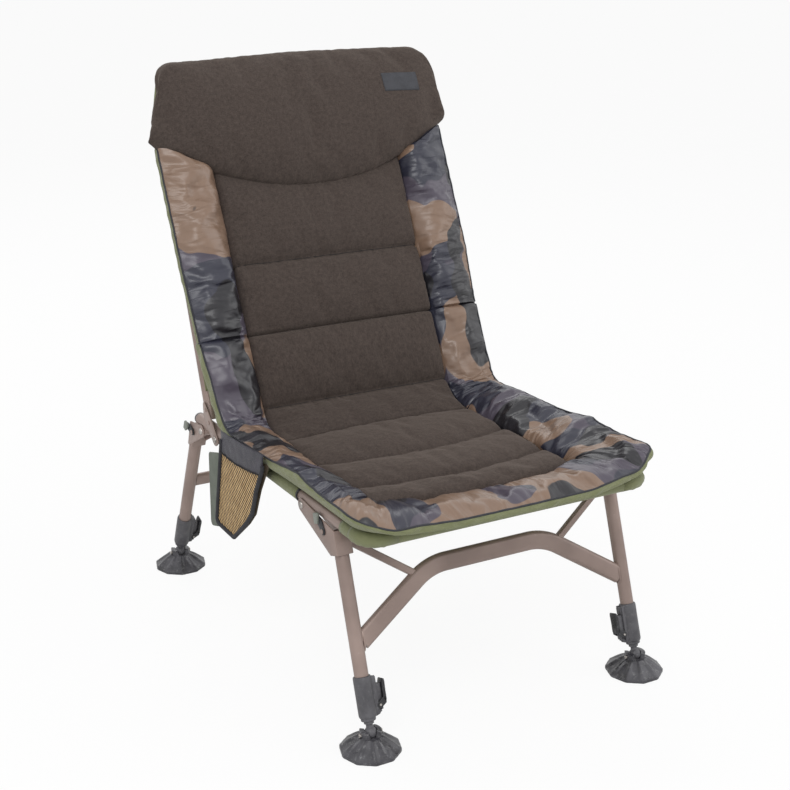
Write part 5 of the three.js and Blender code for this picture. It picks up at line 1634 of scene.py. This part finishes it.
def cornerFlaps():  # the seat lining is folded round the rail at the two front corners
    for name, side in sides.items():
        x, y, z = side * seat["railX"], seat["frontY"], seat["railZ"]
        path = corner((x, -330, z), (x, y, z), (x - side * 70, y, z), seat["corner"], 12)
        stations = [*path[:-1], Vector((side * 205, y, z))]
        lengths = [0.0]
        for a, b in zip(stations, stations[1:]):
            lengths.append(lengths[-1] + (b - a).length)
        count = len(stations) - 1

        def at(u, v):
            k = round(v * count)
            here = stations[k]
            ahead = (stations[min(k + 1, count)] - stations[max(k - 1, 0)]).normalized()
            out = Vector((0, 0, 1)).cross(ahead) * side
            angle = math.radians(mix(100, -95, u))
            bulge = 11.6 + 1.6 * math.sin(math.pi * v) * max(math.cos(angle), 0) + 0.5 * math.sin(v * 31)
            p = here + out * (bulge * math.cos(angle)) + Vector((0, 0, bulge * math.sin(angle)))
            return p, (u * 38, lengths[k])

        openSheet(f"cornerFlap.{name}", "seat_frame", 12, count, at)


railRing = {"y": -161, "profile": [(10.2, -2), (12.2, -1.6), (12.6, 0), (12.2, 1.6), (10.2, 2), (10.2, -2)]}


def railRings():  # black rings where the lining's sleeves end on the side rails
    band = lathe(railRing["profile"], 36)
    for name, side in sides.items():
        place = Matrix.Translation((side * seat["railX"], railRing["y"], seat["railZ"]))
        shape = moved(band, place @ Matrix.Rotation(math.pi / 2, 4, "X"))
        hardPiece(f"railRing.{name}.161", "seat_frame", shape, "blackPlastic")


backSling()
seatSling()
cornerFlaps()
railRings()

# side pocket
pocket = {
    "x": 276.3, "low": 189, "high": 376, "thick": 1.0, "clothThick": 1.2,
    "netGap": 1.7, "lean": 7.0, "binding": 7.5, "hem": 40.0,
    "outline": [(71, 364), (108, 230), (118, 192), (45, 189), (-15, 238), (-41, 265), (-63, 315), (-100, 376)],
    "tab": {"front": 100, "rear": 151, "top": 310, "bottom": 173},
}


def roundedOutline(corners, radius, steps=5):
    points = []
    for i, turn in enumerate(corners):
        before, after = corners[i - 1], corners[(i + 1) % len(corners)]
        arc = corner((*before, 0), (*turn, 0), (*after, 0), radius, steps)[1:-1]
        points += [(p.x, p.y) for p in arc]
    return points


def pocketNetX(z):  # the net leans out towards its mouth
    share = clamp((z - pocket["low"]) / (pocket["high"] - pocket["low"]))
    return -(pocket["x"] + pocket["netGap"] + pocket["lean"] * share)


def outlineAt(outline, z):  # the pocket's front and rear y at a height
    crossings = []
    for (y0, z0), (y1, z1) in zip(outline, outline[1:] + outline[:1]):
        if (z0 - z) * (z1 - z) < 0:
            crossings.append(mix(y0, y1, (z - z0) / (z1 - z0)))
    return min(crossings), max(crossings)


def topOf(y):  # the pocket's sloping upper edge
    return mix(364, pocket["high"], clamp((71 - y) / 171))


def thinSheet(rows, columns, spotAt, thick):  # spotAt: outer face, inward direction, cloth coordinates
    points, uv = [], []
    for layer in (0, 1):
        for j in range(rows + 1):
            for i in range(columns + 1):
                p, away, spot = spotAt(i / columns, j / rows)
                points.append(Vector(p) + Vector(away) * (thick * layer))
                uv.append(spot)
    count = len(points) // 2
    faces, rim = gridFaces(rows, columns, count), gridRim(rows, columns)
    for a, b in zip(rim, rim[1:] + rim[:1]):
        faces.append((a, a + count, b + count, b))
    return points, faces, uv


def flatCloth(name, outline, bevel, look):
    points, faces = slab(outline, -pocket["x"] - pocket["thick"], -pocket["x"], "x", bevel, 1)
    uv = [(p[1], p[2]) for p in points]
    return makePiece(name, "seat_frame", (points, faces, uv), look)


def sidePocket():
    smooth = roundedOutline(pocket["outline"], 9)
    piece = flatCloth("pocketBack", smooth, 0.2, "pocketInside")
    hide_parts("pocket_back")
    front, rear, top, bottom = [pocket["tab"][key] for key in ("front", "rear", "top", "bottom")]
    outline = roundedOutline([(front, top + 15), (rear, top), (rear, bottom), (front, bottom + 16)], 8, 4)
    piece = flatCloth("pocketTab", outline, 0.25, "tab")

    def netSpot(u, v):
        z = mix(190.5, 372, v)
        front, rear = outlineAt(smooth, z)
        y = mix(front + 1, rear - 1, u)
        z = min(z, topOf(y) - pocket["hem"] + 20)
        belly = 3.0 * math.sin(math.pi * u) * math.sin(math.pi * v)
        return (pocketNetX(z) - belly - 1.2, y, z), (1, 0, 0), (y, z)

    shape = thinSheet(44, 26, netSpot, pocket["clothThick"])
    piece = makePiece("pocketNet", "seat_frame", shape, "net")
    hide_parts("pocket_net")

    def hemSpot(u, v):
        z = topOf(mix(-85, 72, u)) + 13 - pocket["hem"] * (1 - v) - 4 * math.sin(math.pi * u) * (1 - v)
        front, rear = outlineAt(smooth, min(z, 360))
        y = mix(front + 3 - 9 * v, rear - 3, u)
        belly = 2.5 * math.sin(math.pi * u) + 1.2 * waver(y / 14, z / 14, 2)
        return (pocketNetX(z) - 3.4 - belly, y, z), (1, 0, 0), (y + 700, z)

    shape = thinSheet(10, 30, hemSpot, pocket["clothThick"])
    piece = makePiece("pocketHem", "seat_frame", shape, "hem")
    hemEdge = [Vector(hemSpot(k / 20, 0)[0]) for k in range(21)]
    cord = sweep(hemEdge, ring(1.3, 8), (1, 0, 0))
    makePiece("pocketHemCord", "seat_frame", cord, "thread")
    pocketBinding(smooth)


def pocketBinding(smooth):  # the tape round the pocket's edge, open along its mouth
    bound = []
    for y, z in smooth:
        away = Vector((y - 18, z - 285)).normalized() * (pocket["binding"] / 2 - 1)
        bound.append(Vector((pocketNetX(z) - 2.6, y - away.x, z - away.y)))
    top = max(range(len(bound)), key=lambda i: bound[i].z - abs(bound[i].y + 97))
    run = bound[top:] + bound[:top]
    rear = min(range(len(run)), key=lambda i: (run[i].y - 71) ** 2 + (run[i].z - 360) ** 2)
    run = run[rear:] if rear < len(run) / 2 else run[:rear + 1]
    tape = [(y, x) for x, y in ring(3.4, 14, pocket["binding"] / 2)]
    makePiece("pocketBinding", "seat_frame", sweep(run, tape, (1, 0, 0)), "binding")


sidePocket()

badge = {"low": (160, 549), "high": (236, 584), "above": 0.9, "thick": 2.5}


def badgePatch():  # a bare cloth patch sewn on the headrest, laid on its finished surface
    mesh = made["headrest"].data
    faces = [tuple(face.vertices) for face in mesh.polygons]
    shape = BVHTree.FromPolygons([v.co / mm for v in mesh.vertices], faces)
    inward = Vector((0, math.cos(back["lean"]), -math.sin(back["lean"])))

    def spotAt(u, v):
        x, s = [mix(low, high, share) for low, high, share in zip(badge["low"], badge["high"], (u, v))]
        hit = shape.ray_cast(onPad(x, s, 120), inward)[0]
        return hit - inward * badge["above"], inward, (x, s)

    makePiece("headrestPatch", "back_frame", thinSheet(8, 16, spotAt, badge["thick"]), "patch")


badgePatch()


def cadLooks():  # the pocket's CAD nodes get their pieces' looks
    for node, look in (("pocket_net", "net"), ("pocket_back", "pocketInside")):
        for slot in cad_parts[node].material_slots:
            slot.material = finishes[look]


cadLooks()


ground = {"half": 30, "colour": (0.9, 0.9, 0.9, 1), "glow": 0.9}


def addFloor():
    mesh = bpy.data.meshes.new("floor")
    half = ground["half"]
    corners = [(-half, -half, 0), (half, -half, 0), (half, half, 0), (-half, half, 0)]
    mesh.from_pydata(corners, [], [(0, 1, 2, 3)])
    floor = placed("floor", mesh)
    material = bpy.data.materials.new("paleFloor")
    material.use_nodes = True
    material.node_tree.nodes.clear()
    tree = Tree(material.node_tree)
    matt = tree.node("ShaderNodeBsdfDiffuse", {}, {"Color": ground["colour"]})
    glow = tree.node("ShaderNodeEmission", {}, {"Strength": 1.0})
    share = tree.isRay("Camera") * ground["glow"]
    blend = tree.node("ShaderNodeMixShader", {}, {0: share, 1: matt, 2: glow})
    tree.node("ShaderNodeOutputMaterial", {}, {"Surface": blend})
    mesh.materials.append(material)


addCamera()
addLights()
addFloor()
print("stage: studio made")
